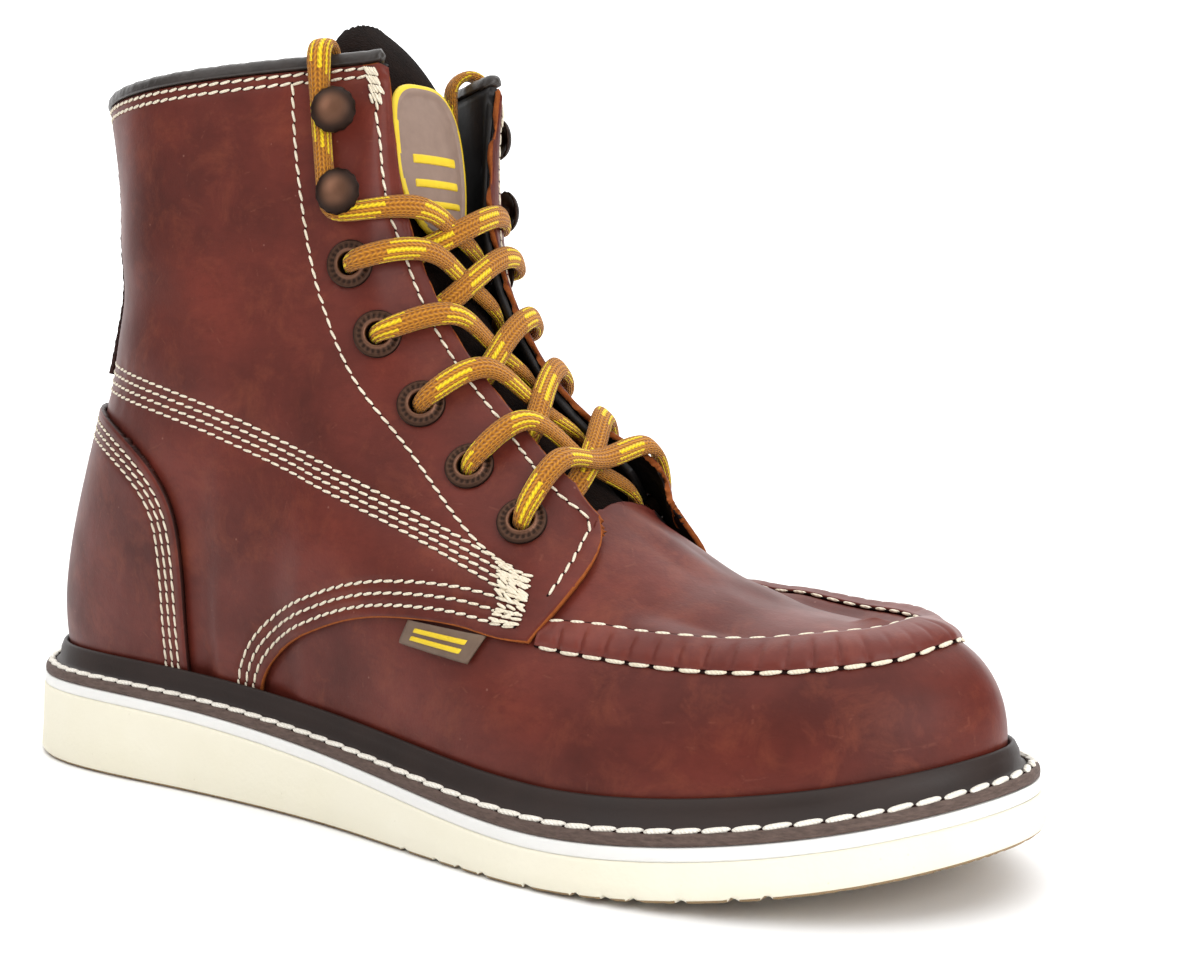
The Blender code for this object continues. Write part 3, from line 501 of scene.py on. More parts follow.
# Pull-up leather, drum-dyed oxblood and hot-stuffed with oil: clouds of darker dye about 30 mm wide,
# a fine pebble under 1 mm, and a broad waxy shine that is duller where the dye is dark.
def oiled_leather(name, light, deep, pull_up, rough_low, rough_high):
    made, tree, here = start_material(name, {"Specular IOR Level": 0.2, "IOR": 1.5})
    clouds = add(tree, "ShaderNodeTexNoise", {"Scale": 30.0, "Detail": 5.0, "Roughness": 0.58},
                 {"Vector": here})
    spread = add(tree, "ShaderNodeValToRGB", {}, {"Fac": clouds.outputs["Fac"]})
    spread.color_ramp.elements[0].position = 0.33
    spread.color_ramp.elements[1].position = 0.67
    spread.color_ramp.elements[0].color = colour(deep)
    spread.color_ramp.elements[1].color = colour(light)
    drag = add(tree, "ShaderNodeMapping", {"Scale": (150.0, 150.0, 420.0), "Rotation": (0.3, 0.5, 0.2)},
               {"Vector": here})
    streaks = add(tree, "ShaderNodeTexNoise", {"Scale": 1.0, "Detail": 4.0, "Roughness": 0.7},
                  {"Vector": drag.outputs["Vector"]})
    veil = add(tree, "ShaderNodeMapRange",
               {"From Min": 0.45, "From Max": 0.75, "To Min": 0.0, "To Max": 0.4},
               {"Value": streaks.outputs["Fac"]})
    mottled = add(tree, "ShaderNodeMixRGB", {"Color2": colour(deep)},
                  {"Color1": spread.outputs["Color"], "Fac": veil.outputs["Result"]})
    dust = add(tree, "ShaderNodeTexVoronoi", {"Scale": 120.0, "Randomness": 1.0}, {"Vector": here})
    speck = add(tree, "ShaderNodeMapRange",
                {"From Min": 0.02, "From Max": 0.045, "To Min": 0.4, "To Max": 0.0},
                {"Value": dust.outputs["Distance"]})
    dusty = add(tree, "ShaderNodeMixRGB", {"Color2": colour("#9a6a5e")},
                {"Color1": mottled.outputs["Color"], "Fac": speck.outputs["Result"]})
    moved = add(tree, "ShaderNodeTexNoise",
                {"Scale": 75.0, "Detail": 8.0, "Roughness": 0.72, "Distortion": 0.4},
                {"Vector": here})
    pulled = add(tree, "ShaderNodeMapRange",
                 {"From Min": 0.5, "From Max": 0.78, "To Min": 0.0, "To Max": 0.5},
                 {"Value": moved.outputs["Fac"]})
    rubbed = add(tree, "ShaderNodeMixRGB", {"Color2": colour(pull_up)},
                 {"Color1": dusty.outputs["Color"], "Fac": pulled.outputs["Result"]})
    scratch = add(tree, "ShaderNodeTexVoronoi", {"Scale": 34.0, "feature": "DISTANCE_TO_EDGE"},
                  {"Vector": here})
    hair = add(tree, "ShaderNodeMapRange",
               {"From Min": 0.0, "From Max": 0.012, "To Min": 0.16, "To Max": 0.0},
               {"Value": scratch.outputs["Distance"]})
    sparse = add(tree, "ShaderNodeMapRange", {"From Min": 0.55, "From Max": 0.62},
                 {"Value": streaks.outputs["Fac"]})
    scuff = add(tree, "ShaderNodeMath", {"operation": "MULTIPLY"},
                {0: hair.outputs["Result"], 1: sparse.outputs["Result"]})
    add(tree, "ShaderNodeMixRGB", {"Color2": colour("#9a5a46")},
        {"Color1": rubbed.outputs["Color"], "Fac": scuff.outputs["Value"]}, "Base Color")
    add(tree, "ShaderNodeMapRange",
        {"From Min": 0.3, "From Max": 0.7, "To Min": rough_high, "To Max": rough_low},
        {"Value": clouds.outputs["Fac"]}, "Roughness")
    pebble = add(tree, "ShaderNodeTexVoronoi", {"Scale": 1300.0, "feature": "SMOOTH_F1", "Smoothness": 0.6},
                 {"Vector": here})
    pores = add(tree, "ShaderNodeTexNoise", {"Scale": 2600.0, "Detail": 3.0}, {"Vector": here})
    grain = add(tree, "ShaderNodeMath", {"operation": "ADD"},
                {0: pebble.outputs["Distance"], 1: pores.outputs["Fac"]})
    fine = add(tree, "ShaderNodeBump", {"Strength": 0.14, "Distance": 0.00014},
               {"Height": grain.outputs["Value"]})
    waves = add(tree, "ShaderNodeTexNoise", {"Scale": 110.0, "Detail": 2.0}, {"Vector": here})
    add(tree, "ShaderNodeBump", {"Strength": 0.2, "Distance": 0.0008},
        {"Height": waves.outputs["Fac"], "Normal": fine.outputs["Normal"]}, "Normal")
    return made


# Glazed black lining leather: almost smooth, with a dull sheen and faint drafting wrinkles.
def lining_leather():
    made, tree, here = start_material("black_lining_leather", {"Specular IOR Level": 0.4})
    cloud = add(tree, "ShaderNodeTexNoise", {"Scale": 60.0, "Detail": 4.0}, {"Vector": here})
    add(tree, "ShaderNodeMixRGB", {"Color1": colour("#0d0b0b"), "Color2": colour("#1d1818")},
        {"Fac": cloud.outputs["Fac"]}, "Base Color")
    add(tree, "ShaderNodeMapRange", {"To Min": 0.42, "To Max": 0.66},
        {"Value": cloud.outputs["Fac"]}, "Roughness")
    wrinkle = add(tree, "ShaderNodeTexNoise", {"Scale": 420.0, "Detail": 4.0}, {"Vector": here})
    add(tree, "ShaderNodeBump", {"Strength": 0.25, "Distance": 0.0004},
        {"Height": wrinkle.outputs["Fac"]}, "Normal")
    return made


vamp_leather = oiled_leather("oxblood_oiled_leather", "#6b2d23", "#4b1d16", "#86432d", 0.36, 0.5)
lining = lining_leather()


def finish_piece(name, bm, materials, nodes=()):
    """Turns a bmesh into a piece that rides on the boot and stands for its CAD nodes."""
    mesh = bpy.data.meshes.new(name)
    bm.to_mesh(mesh)
    bm.free()
    for skin in materials:
        mesh.materials.append(skin)
    mesh.polygons.foreach_set("use_smooth", [True] * len(mesh.polygons))
    made = bpy.data.objects.new(name, mesh)
    bpy.context.scene.collection.objects.link(made)
    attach(made, "root")
    if nodes:
        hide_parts(*nodes)
    return made


def moved_grid(bm, columns, rows, shape):
    """A flat grid whose corners run 0 to 1 both ways, with each vertex moved onto a shape in millimetres."""
    verts = bmesh.ops.create_grid(bm, x_segments=columns, y_segments=rows, size=0.5)["verts"]
    flat = np.array([v.co[:2] for v in verts]) + 0.5
    for vert, point in zip(verts, place(shape(flat[:, 0], flat[:, 1]))):
        vert.co = point


EYELET_COLUMNS = ("x", "z")
EYELETS = ((193.6, 75.9), (176.8, 87.9), (161.7, 102.4), (149.2, 119.3), (141.6, 136.5))
HOOKS = ((139.0, 153.6), (136.7, 173.6))
HOLE_RADIUS = 4.1


def seat_at(side, spot):
    """Where a fitting sits on the quarter: its point, outward way and upward way."""
    s, v = locate(*spot)[0]
    q = side * np.array([s, s, s])
    points = wall(q, np.array([v, v + 0.01, v - 0.01]), LAYER)
    out = outward(q[:1], np.array([v]))[0]
    up = points[1] - points[2]
    up = unit(up - out * np.dot(up, out))
    return points[0], out, up


seats = {(side, spot): seat_at(side, spot) for side in SIDES for spot in EYELETS + HOOKS}


def open_holes(bm, side):
    """Takes out the leather inside each eyelet."""
    centres = [Vector(place(seats[one, spot][0])) for one in SIDES for spot in EYELETS if side in (0, one)]
    reach = HOLE_RADIUS * MM
    gone = [f for f in bm.faces if min((f.calc_center_median() - c).length for c in centres) < reach]
    bmesh.ops.delete(bm, geom=gone, context="FACES")


def add_wall(made, thick, inner, rim):
    """Gives a sheet its real thickness, inward, with its own finish inside and on the cut edge."""
    step = made.modifiers.new("leather_thickness", "SOLIDIFY")
    step.thickness = thick * MM
    step.offset = -1.0
    step.material_offset = inner
    step.material_offset_rim = rim


UPPER_COLUMNS = 392
UPPER_ROWS = 84
NOTCH_FROM = 7.7
NOTCH_TO = 8.95
NOTCH_DEPTH = 0.3
NOTCH_EASE = 0.4
LINING_INSET = 0.14
LINING_FROM = 0.5
bm = bmesh.new()
moved_grid(bm, UPPER_COLUMNS, UPPER_ROWS, lambda a, b: wall((2 * a - 1) * LAST_ROW, b, 0.0))
bmesh.ops.reverse_faces(bm, faces=bm.faces)
bmesh.ops.remove_doubles(bm, verts=bm.verts, dist=WELD)
open_holes(bm, 0)
net_q, net_v = every_pair(np.linspace(-LAST_ROW, LAST_ROW, 700), np.linspace(0, 1, 140))
net_s = np.abs(net_q)
covered = (net_s < front_at(net_v) - LINING_INSET) & (net_v > LINING_FROM)
notch = (net_s > NOTCH_FROM) & (net_s < NOTCH_TO)
notch &= net_v > 1 - NOTCH_DEPTH * smooth_step(0.0, NOTCH_EASE, NOTCH_TO - net_s)
tree = KDTree(len(net_q))
for number, spot in enumerate(place(wall(net_q, net_v, 0.0))):
    tree.insert(spot, number)
tree.balance()
spots = [tree.find(face.calc_center_median())[1] for face in bm.faces]
for face, spot in zip(bm.faces, spots):
    face.material_index = int(covered[spot])
bmesh.ops.delete(bm, geom=[face for face, spot in zip(bm.faces, spots) if notch[spot]], context="FACES")
upper = finish_piece("upper_shell", bm, [vamp_leather, lining], ["upper"])
add_wall(upper, WALL, 1, 1)

# Quarters
# One large panel a side, clicked out of the same hide and laid over the vamp: it wraps the heel, climbs
# to the collar and ends in the eyelet flap. Its cut edge is left raw and shows the rust-brown fibre.
QUARTER_LOW_COLUMNS = ("x", "z")
QUARTER_LOW = (
    (203.0, 49.8),
    (195.4, 50.4),
    (187.4, 51.8),
    (178.0, 52.6),
    (168.5, 52.6),
    (158.0, 51.9),
    (151.0, 50.8),
    (143.0, 48.8),
    (136.0, 46.5),
    (129.0, 43.8),
    (123.5, 41.0),
    (118.5, 37.6),
    (114.4, 33.6),
    (111.4, 28.5),
    (110.0, 22.0),
)
EDGE_PACK = 0.75
EDGE_ROUND = 0.9
EDGE_DROP = 0.3
RAW_REACH = 0.4
LINE_POINTS = 160
BACK_POINTS = 60
RIM_POINTS = 700
ROW_POINTS = 400
FLAP_TURN = 0.8
SEAM_CLEAR = 0.004
FOLD_LIMIT = 0.25


def side_edge(points, side=LATERAL):
    """An edge in s and v by its share of real length on one side, from points close together."""
    points = np.asarray(points, float)
    run = lengths(envelope(side * points[:, 0], points[:, 1]))
    run = run / run[-1]

    def edge(t):
        return on_line(t, run, points)

    return edge


def patch(bottom, top, left, right, a, b):
    """A four-sided patch in s and v: bottom and top run with a, left and right with b."""
    ends = np.array([0.0, 1.0])
    low = bottom(ends)
    high = top(ends)
    a1 = a[:, None]
    b1 = b[:, None]
    across = (1 - b1) * bottom(a) + b1 * top(a) + (1 - a1) * left(b) + a1 * right(b)
    return (across - (1 - a1) * (1 - b1) * low[0] - a1 * (1 - b1) * low[1]
            - (1 - a1) * b1 * high[0] - a1 * b1 * high[1])


def evenly(line, count):
    """More points on a line, spread evenly over its own."""
    return on_line(np.linspace(0, 1, count), np.linspace(0, 1, len(line)), line)


def packed(t):
    """Packs rows toward both ends, where edges turn down."""
    return t - EDGE_PACK * np.sin(2 * math.pi * t) / (2 * math.pi)


def nearest(points, targets):
    """Distance from each point to the nearest target."""
    tree = KDTree(len(targets))
    for number, target in enumerate(targets):
        tree.insert(target, number)
    tree.balance()
    return np.array([tree.find(point)[2] for point in points])


low_line = locate(*smooth_line(QUARTER_LOW, 90).T)
low_line[-1, 1] = 0.0
low_line[0] = front_line[-1]
low_start = float(low_line[-1, 0])
back_run = np.concatenate([
    np.column_stack([np.linspace(low_start, 0, BACK_POINTS)[:-1], np.zeros(BACK_POINTS - 1)]),
    np.column_stack([np.zeros(BACK_POINTS), np.linspace(0, 1, BACK_POINTS)]),
])
quarter_bottom = side_edge(low_line[::-1])
flap_turn = int(np.argmax(front_line[:, 1] < FLAP_TURN))
quarter_top = side_edge(np.concatenate([
    np.column_stack([np.linspace(0, flap_top, LINE_POINTS), np.ones(LINE_POINTS)]),
    front_line[1:flap_turn + 1],
]))
quarter_back = side_edge(back_run)
quarter_front = side_edge(front_line[flap_turn:][::-1])

# Stitch rows of the quarter, in the side view; the parallel rows are counted from their own edge
EYESTAY_IN = 3.9
FLAP_ROW_TOP_COLUMNS = ("s", "v")
FLAP_ROW_TOP = ((3.94, 0.9875), (3.99, 0.9475), (4.12, 0.93), (4.415, 0.914), (4.735, 0.914))
FRONT_ROW_IN = 5.0
EYESTAY_REAR_COLUMNS = ("x", "z")
EYESTAY_REAR = ((125.6, 181.4), (126.6, 165.1), (128.2, 152.8), (131.7, 135.5), (137.4, 120.7),
                (146.9, 106.0), (158.9, 94.1), (171.9, 81.4), (185.5, 70.6), (193.0, 66.6))
SEAM_TOP_COLUMNS = ("x", "z")
SEAM_TOP = ((41.5, 113.6), (58.3, 111.0), (96.9, 102.0), (129.5, 90.6), (161.9, 78.8), (195.0, 66.0))
SEAM_LOW = ((41.5, 105.9), (58.6, 103.6), (96.3, 95.0), (129.6, 84.1), (162.9, 73.0), (196.0, 60.4))
SEAM_ROWS = 4
COLLAR_ROWS_DOWN = (0.9, 3.0)
EDGE_ROWS_IN = (2.9, 5.7, 8.5)
EDGE_ROWS_END = 199.0
COLLAR_ROW_ENDS = (0.84, 3.92)
FLAP_ROW_EDGE = (5.1, 7.3)
FLAP_ROW_FRONT = (0.79, 0.72, 0.65, 0.58, 0.53)
STITCH_PITCH = 3.25


def parallel(line, distance):
    """A line moved sideways in the side view, to its left."""
    way = unit(np.gradient(line, axis=0))
    return line + distance * np.column_stack([-way[:, 1], way[:, 0]])


quarter_rows = [smooth_line(EYESTAY_REAR, LINE_POINTS)]
for number in range(SEAM_ROWS):
    share = number / (SEAM_ROWS - 1)
    between = np.array(SEAM_TOP) * (1 - share) + np.array(SEAM_LOW) * share
    quarter_rows.append(smooth_line(between, LINE_POINTS))
for inside in EDGE_ROWS_IN:
    shifted = parallel(smooth_line(QUARTER_LOW, 200), -inside)
    quarter_rows.append(shifted[shifted[:, 0] < EDGE_ROWS_END])
collar_s = np.linspace(*COLLAR_ROW_ENDS, LINE_POINTS)
collar_edge = envelope(-collar_s, np.ones(LINE_POINTS))
for down in COLLAR_ROWS_DOWN:
    quarter_rows.append(np.column_stack([collar_edge[:, 0], collar_edge[:, 2] - down]))
quarter_stitch_lines = [locate(*row[::3].T) for row in quarter_rows]


def inside_flap(s, distance):
    """The v at each s that lies a distance in from the flap's free edge."""
    step_s = 0.02
    step_v = 0.05
    edge = envelope(-s, np.ones(len(s)))
    along = unit(envelope(-s - step_s, np.ones(len(s))) - edge)
    down = (envelope(-s, np.full(len(s), 1 - step_v)) - edge) / step_v
    square = down - along * np.sum(down * along, axis=1)[:, None]
    return 1 - distance / np.linalg.norm(square, axis=1)


def inside_front(v, distance):
    """The s at each v that lies a distance back from the quarter's front edge."""
    s = front_at(v)
    step = 0.1
    wide = np.linalg.norm(envelope(-s, v) - envelope(-s + step, v), axis=1) / step
    return s - distance / wide


edge_s = np.linspace(*FLAP_ROW_EDGE, 8)
edge_v = np.array(FLAP_ROW_FRONT)
flap_row = np.concatenate([
    FLAP_ROW_TOP,
    np.column_stack([edge_s, inside_flap(edge_s, EYESTAY_IN)]),
    np.column_stack([inside_front(edge_v, FRONT_ROW_IN), edge_v]),
])
quarter_stitch_lines.append(smooth_line(flap_row, LINE_POINTS))
STITCH_SINK = 0.28
STITCH_HALF = 1.0


def sunk(points, lines):
    """How deep the thread pulls the leather down near its rows."""
    miss = nearest(points, np.concatenate(lines))
    return STITCH_SINK * np.exp(-(miss / STITCH_HALF) ** 2)


# Cut edge of vegetable-retanned leather: bare rust-brown fibre, dull and slightly hairy.
def cut_edge_leather():
    made, tree, here = start_material("raw_cut_leather_edge", {"Roughness": 0.85, "Specular IOR Level": 0.2})
    fibre = add(tree, "ShaderNodeTexNoise", {"Scale": 900.0, "Detail": 4.0}, {"Vector": here})
    add(tree, "ShaderNodeMixRGB", {"Color1": colour("#6b2f14"), "Color2": colour("#a65c26")},
        {"Fac": fibre.outputs["Fac"]}, "Base Color")
    add(tree, "ShaderNodeBump", {"Strength": 0.5, "Distance": 0.0003},
        {"Height": fibre.outputs["Fac"]}, "Normal")
    return made


raw_edge = cut_edge_leather()
QUARTER_COLUMNS = 230
QUARTER_PANEL_ROWS = 130


def quarter_panel(side):
    edges = (quarter_bottom, quarter_top, quarter_front)
    rim = np.concatenate([edge(np.linspace(0, 1, RIM_POINTS)) for edge in edges])
    rim_points = wall(side * rim[:, 0], rim[:, 1], LAYER)
    dense = [evenly(line, ROW_POINTS) for line in quarter_stitch_lines]
    stitched = [wall(side * line[:, 0], line[:, 1], LAYER) for line in dense]

    def shape(a, b):
        spots = patch(quarter_bottom, quarter_top, quarter_back, quarter_front, packed(a), packed(b))
        s = np.clip(spots[:, 0], SEAM_CLEAR, LAST_ROW)
        v = np.clip(spots[:, 1], 0, 1)
        flat = wall(side * s, v, LAYER)
        drop = EDGE_DROP * (1 - smooth_step(0, EDGE_ROUND, nearest(flat, rim_points)))
        facing.extend(outward(side * s, v))
        return wall(side * s, v, LAYER - drop - sunk(flat, stitched))

    bm = bmesh.new()
    facing = []
    moved_grid(bm, QUARTER_COLUMNS, QUARTER_PANEL_ROWS, shape)
    if side == MEDIAL:
        bmesh.ops.reverse_faces(bm, faces=bm.faces)
    bm.verts.index_update()
    bm.normal_update()
    folded = [f for f in bm.faces if np.dot(f.normal, facing[f.verts[0].index]) < FOLD_LIMIT]
    bmesh.ops.delete(bm, geom=folded, context="FACES")
    open_holes(bm, side)
    name = "quarter_" + SIDE_NAMES[side]
    bare = place(rim_points)
    for face, miss in zip(bm.faces, nearest([f.calc_center_median() for f in bm.faces], bare)):
        face.material_index = 1 if miss < RAW_REACH * MM else 0
    skins = [vamp_leather, raw_edge, raw_edge, lining]
    made = finish_piece(name + "_panel", bm, skins, [name])
    add_wall(made, LEATHER - EDGE_DROP, 3, 1)


for side in SIDES:
    quarter_panel(side)

# Heel counter
# A pocket of the same leather over the back of both quarters, with its front edge cut raw and
# three rows of thread along it. Its cut edge is painted dark, in the backstay's leather, as the shade it
# stands in.
COUNTER_EDGE_COLUMNS = ("x", "z")
COUNTER_TOP = ((36.0, 100.6), (44.0, 99.6), (52.3, 97.8), (67.0, 91.7), (75.0, 86.0))
COUNTER_FRONT = ((75.0, 86.0), (80.5, 79.5), (83.0, 74.0), (84.3, 61.0), (83.6, 47.0), (82.6, 31.0),
                 (82.3, 24.5))
COUNTER_ROWS_IN = (3.3, 5.8, 8.3)
COUNTER_ROWS_FROM = 0.12
COUNTER_GRID = (200, 110)
COUNTER_POINTS = 300
FOOT_POINTS = 50
# Dark leather for the backstay and for the counter's cut edge: partly the strip's own darker tone, partly
# painted shade for edges that stand in shadow.
backstay_leather_and_edge_shade = oiled_leather("waxed_backstay_leather_with_painted_edge_shade", "#3d1c16", "#26110d", "#44221a", 0.42, 0.6)
COUNTER_LIFT = 2 * LAYER
counter_outline = smooth_line(COUNTER_TOP + COUNTER_FRONT[1:], 120)
counter_line = locate(*counter_outline.T)
counter_line[-1, 1] = 0.0
back_height = float(counter_line[0, 1])
turn = int(np.argmin(np.linalg.norm(counter_outline - np.array(COUNTER_FRONT[0]), axis=1)))
half_top = np.concatenate([[[0.0, back_height]], counter_line[:turn + 1]])
half_front = counter_line[turn:][::-1]
counter_foot = float(counter_line[-1, 0])


def both_sides(half):
    """A line from the outer side round the back seam to the inner side, with s below 0 outside."""
    half = np.asarray(half)
    outer = half[::-1].copy()
    outer[:, 0] *= -1
    return np.concatenate([outer, half[1:]])


foot_half = np.column_stack([np.linspace(0, counter_foot, FOOT_POINTS), np.zeros(FOOT_POINTS)])
counter_bottom = side_edge(both_sides(foot_half), MEDIAL)
counter_top = side_edge(both_sides(half_top), MEDIAL)
counter_left = side_edge(half_front * np.array([-1.0, 1.0]), MEDIAL)
counter_right = side_edge(half_front, MEDIAL)
counter_rows = []
for inside in COUNTER_ROWS_IN:
    shifted = parallel(counter_outline, -inside)
    spots = locate(*shifted[::2].T)
    counter_rows.append(spots[spots[:, 0] > COUNTER_ROWS_FROM])


def counter_panel():
    edges = (counter_top, counter_left, counter_right)
    rim = np.concatenate([edge(np.linspace(0, 1, COUNTER_POINTS)) for edge in edges])
    rim_points = wall(rim[:, 0], rim[:, 1], COUNTER_LIFT)
    stitched = []
    for line in counter_rows:
        dense = evenly(line, COUNTER_POINTS)
        for side in SIDES:
            stitched.append(wall(side * dense[:, 0], dense[:, 1], COUNTER_LIFT))

    def shape(a, b):
        spots = patch(counter_bottom, counter_top, counter_left, counter_right, packed(a), packed(b))
        q = spots[:, 0]
        v = np.clip(spots[:, 1], 0, 1)
        flat = wall(q, v, COUNTER_LIFT)
        drop = EDGE_DROP * (1 - smooth_step(0, EDGE_ROUND, nearest(flat, rim_points)))
        return wall(q, v, COUNTER_LIFT - drop - sunk(flat, stitched))

    bm = bmesh.new()
    moved_grid(bm, *COUNTER_GRID, shape)
    bmesh.ops.reverse_faces(bm, faces=bm.faces)
    # The counter's cut edge takes the dark backstay leather as painted shade.
    skins = [vamp_leather, backstay_leather_and_edge_shade]
    made = finish_piece("heel_counter_panel", bm, skins, ["heel_counter"])
    add_wall(made, LEATHER - EDGE_DROP, 0, 1)


counter_panel()

# Backstay
# A strip of waxed leather over the back seam, from the binding to the counter, wider at its foot,
# cut raw at both edges with a row of thread along each. Its dark tone is partly the leather's own and partly
# painted shade for its edges.
BACKSTAY_COLUMNS = ("v", "half")
BACKSTAY = np.array(((0.64, 1.07), (0.7143, 1.03), (0.8571, 0.98), (0.93, 0.93), (0.985, 0.84)))
BACKSTAY_LIFT = 2 * LAYER + GAP
BACKSTAY_ROW_IN = 0.13
BACKSTAY_EDGE = 0.955
BACKSTAY_GRID = (60, 110)
BACKSTAY_CUT_COLUMNS = ("height", "rate", "start")
BACKSTAY_CUT = ((0.012, 83.0, 0.0), (0.01, 191.0, 1.0))
bm = bmesh.new()


def waves(table, t):
    """A sum of sine waves, each with a row for its height, rate and start."""
    return sum(height * np.sin(t * rate + start) for height, rate, start in table)


def backstay_half(v):
    return np.interp(v, BACKSTAY[:, 0], BACKSTAY[:, 1])


def backstay_shape(a, b):
    t = 2 * packed(a) - 1
    v = BACKSTAY[0, 0] + (BACKSTAY[-1, 0] - BACKSTAY[0, 0]) * b
    drop = EDGE_DROP * smooth_step(BACKSTAY_EDGE, 1.0, np.abs(t))
    return wall(t * (backstay_half(v) + waves(BACKSTAY_CUT, b)), v, BACKSTAY_LIFT - drop)


moved_grid(bm, *BACKSTAY_GRID, backstay_shape)
bmesh.ops.reverse_faces(bm, faces=bm.faces)
# Face and cut edge alike take the dark leather, which carries painted shade for the edges.
backstay_skins = [backstay_leather_and_edge_shade, backstay_leather_and_edge_shade]
backstay = finish_piece("backstay_strip", bm, backstay_skins, ["backstay"])
add_wall(backstay, LEATHER - EDGE_DROP, 0, 1)
backstay_v = np.linspace(BACKSTAY[0, 0] + 0.004, BACKSTAY[-1, 0], 60)
backstay_row = np.column_stack([backstay_half(backstay_v) - BACKSTAY_ROW_IN, backstay_v])

# Toe seam
# The vamp's edge is gathered up against the plug and sewn down, so it stands as a puckered roll
# with a heavy row of thread along its foot and a finer row along the plug.
SEAM_RISE_COLUMNS = ("b", "rise")
SEAM_RISE = np.array(((0.0, 0.3), (0.08, 0.85), (0.2, 1.25), (0.35, 1.4), (0.55, 1.2), (0.75, 0.8),
                      (0.9, 0.45), (1.0, 0.25)))
PUCKER_PITCH = 5.8
PUCKER_DEPTH = 0.75
PUCKER_WOBBLE_COLUMNS = ("height", "rate", "start")
PUCKER_WOBBLE = ((0.5, 1.22, 0.0), (0.5, 0.48, 1.0))
PUCKER_SWING = 0.10
PUCKER_LEAN = 0.12
PUCKER_SHARP = 8
PUCKER_CALM = 0.75
PUCKER_CALM_ROWS = (12.2, 13.2)
PUCKER_FOOT = 0.06
PUCKER_TOP = (0.4, 0.92)
SEAM_TAPER = 0.03
SEAM_END_RISE = 0.6
INNER_ROLL = 2.4
INNER_ROLL_ROWS = (12.0, 13.8)
INNER_ROLL_B = 0.72
INNER_ROLL_HALF = 0.2
SEAM_POINTS = 700
SEAM_GRID = (640, 26)
SEAM_WALL = 0.6
OUTER_THREAD_LIFT = 0.25
SEAM_OUTER_B = -0.05
SEAM_INNER_B = 1.03
SEAM_ENDS = (0.004, 0.996)
seam_rise = spline(SEAM_RISE[:, 0], SEAM_RISE[:, 1])


def seam_spot(a, b):
    """a runs round the toe from the outer flap to the inner one, b from the outer foot to the plug."""
    t = 2 * a - 1
    s = TOE_SEAM[-1, 0] - (TOE_SEAM[-1, 0] - TOE_SEAM[0, 0]) * np.abs(t)
    low, high = seam_edges(s).T
    return np.where(t < 0, -s, s), low + (high - low) * b


seam_a = np.linspace(*SEAM_ENDS, SEAM_POINTS)
seam_length = lengths(wall(*seam_spot(seam_a, np.full(SEAM_POINTS, SEAM_OUTER_B)), OUTER_THREAD_LIFT))
pucker_count = round(seam_length[-1] / PUCKER_PITCH)


def seam_shape(a, b):
    q, v = seam_spot(a, b)
    phase = pucker_count * np.interp(a, seam_a, seam_length) / seam_length[-1]
    wobble = waves(PUCKER_WOBBLE, phase)
    lean = phase + PUCKER_SWING * wobble * b + PUCKER_LEAN * b
    fold = np.abs(np.cos(math.pi * lean)) ** PUCKER_SHARP
    calm = 1 - PUCKER_CALM * smooth_step(*PUCKER_CALM_ROWS, np.abs(q))
    depth = PUCKER_DEPTH * (0.8 + 0.3 * wobble) * fold
    pull = depth * smooth_step(0.0, PUCKER_FOOT, b) * (1 - smooth_step(*PUCKER_TOP, b))
    ends = smooth_step(0, SEAM_TAPER, a) * (1 - smooth_step(1 - SEAM_TAPER, 1, a))
    crown = np.exp(-((b - INNER_ROLL_B) / INNER_ROLL_HALF) ** 2)
    inner = INNER_ROLL * (q > 0) * (1 - smooth_step(*INNER_ROLL_ROWS, q)) * crown
    rise = (seam_rise(b)[:, 0] + inner) * (SEAM_END_RISE + (1 - SEAM_END_RISE) * ends)
    return wall(q, v, rise - pull * ends * calm)


bm = bmesh.new()
moved_grid(bm, *SEAM_GRID, seam_shape)
bmesh.ops.reverse_faces(bm, faces=bm.faces)
seam_leather = oiled_leather("gathered_oxblood_leather", "#75382f", "#582721", "#8a4836", 0.34, 0.46)
toe_seam = finish_piece("toe_seam_roll", bm, [seam_leather, raw_edge], ["toe_seam"])
add_wall(toe_seam, SEAM_WALL, 0, 0)

# Collar binding
# A strip of soft black leather folded over the top of the shaft and sewn through: a plump roll with
# short wrinkles where it goes round the curve.
BINDING_COLUMNS = ("out", "up")
BINDING = ((1.7, 0.3), (2.4, 1.1), (2.1, 2.5), (0.9, 3.6), (-1.1, 3.6), (-2.3, 2.5), (-2.6, 1.1),
           (-1.9, 0.3))
BINDING_MIDDLE_OUT = -0.1
BINDING_MIDDLE_UP = 1.9
BINDING_CROWN = 3.4
BINDING_END = 2.0
BINDING_POINTS = 400
BINDING_GRID = (340, 20)
WRINKLE_RISE = 0.03


# Soft garment leather, aniline black: a little shine on its crown, fine wrinkles about 2 mm apart.
def binding_leather():
    made, tree, here = start_material(
        "black_binding_leather",
        {"Specular IOR Level": 0.5, "Coat Weight": 0.1, "Coat Roughness": 0.35},
    )
    cloud = add(tree, "ShaderNodeTexNoise", {"Scale": 220.0, "Detail": 4.0}, {"Vector": here})
    add(tree, "ShaderNodeMixRGB", {"Color1": colour("#17130f"), "Color2": colour("#342a25")},
        {"Fac": cloud.outputs["Fac"]}, "Base Color")
    add(tree, "ShaderNodeMapRange", {"To Min": 0.3, "To Max": 0.55},
        {"Value": cloud.outputs["Fac"]}, "Roughness")
    wrinkle = add(tree, "ShaderNodeTexNoise", {"Scale": 650.0, "Detail": 3.0, "Distortion": 0.6},
                  {"Vector": here})
    add(tree, "ShaderNodeBump", {"Strength": 0.45, "Distance": 0.0004},
        {"Height": wrinkle.outputs["Fac"]}, "Normal")
    return made


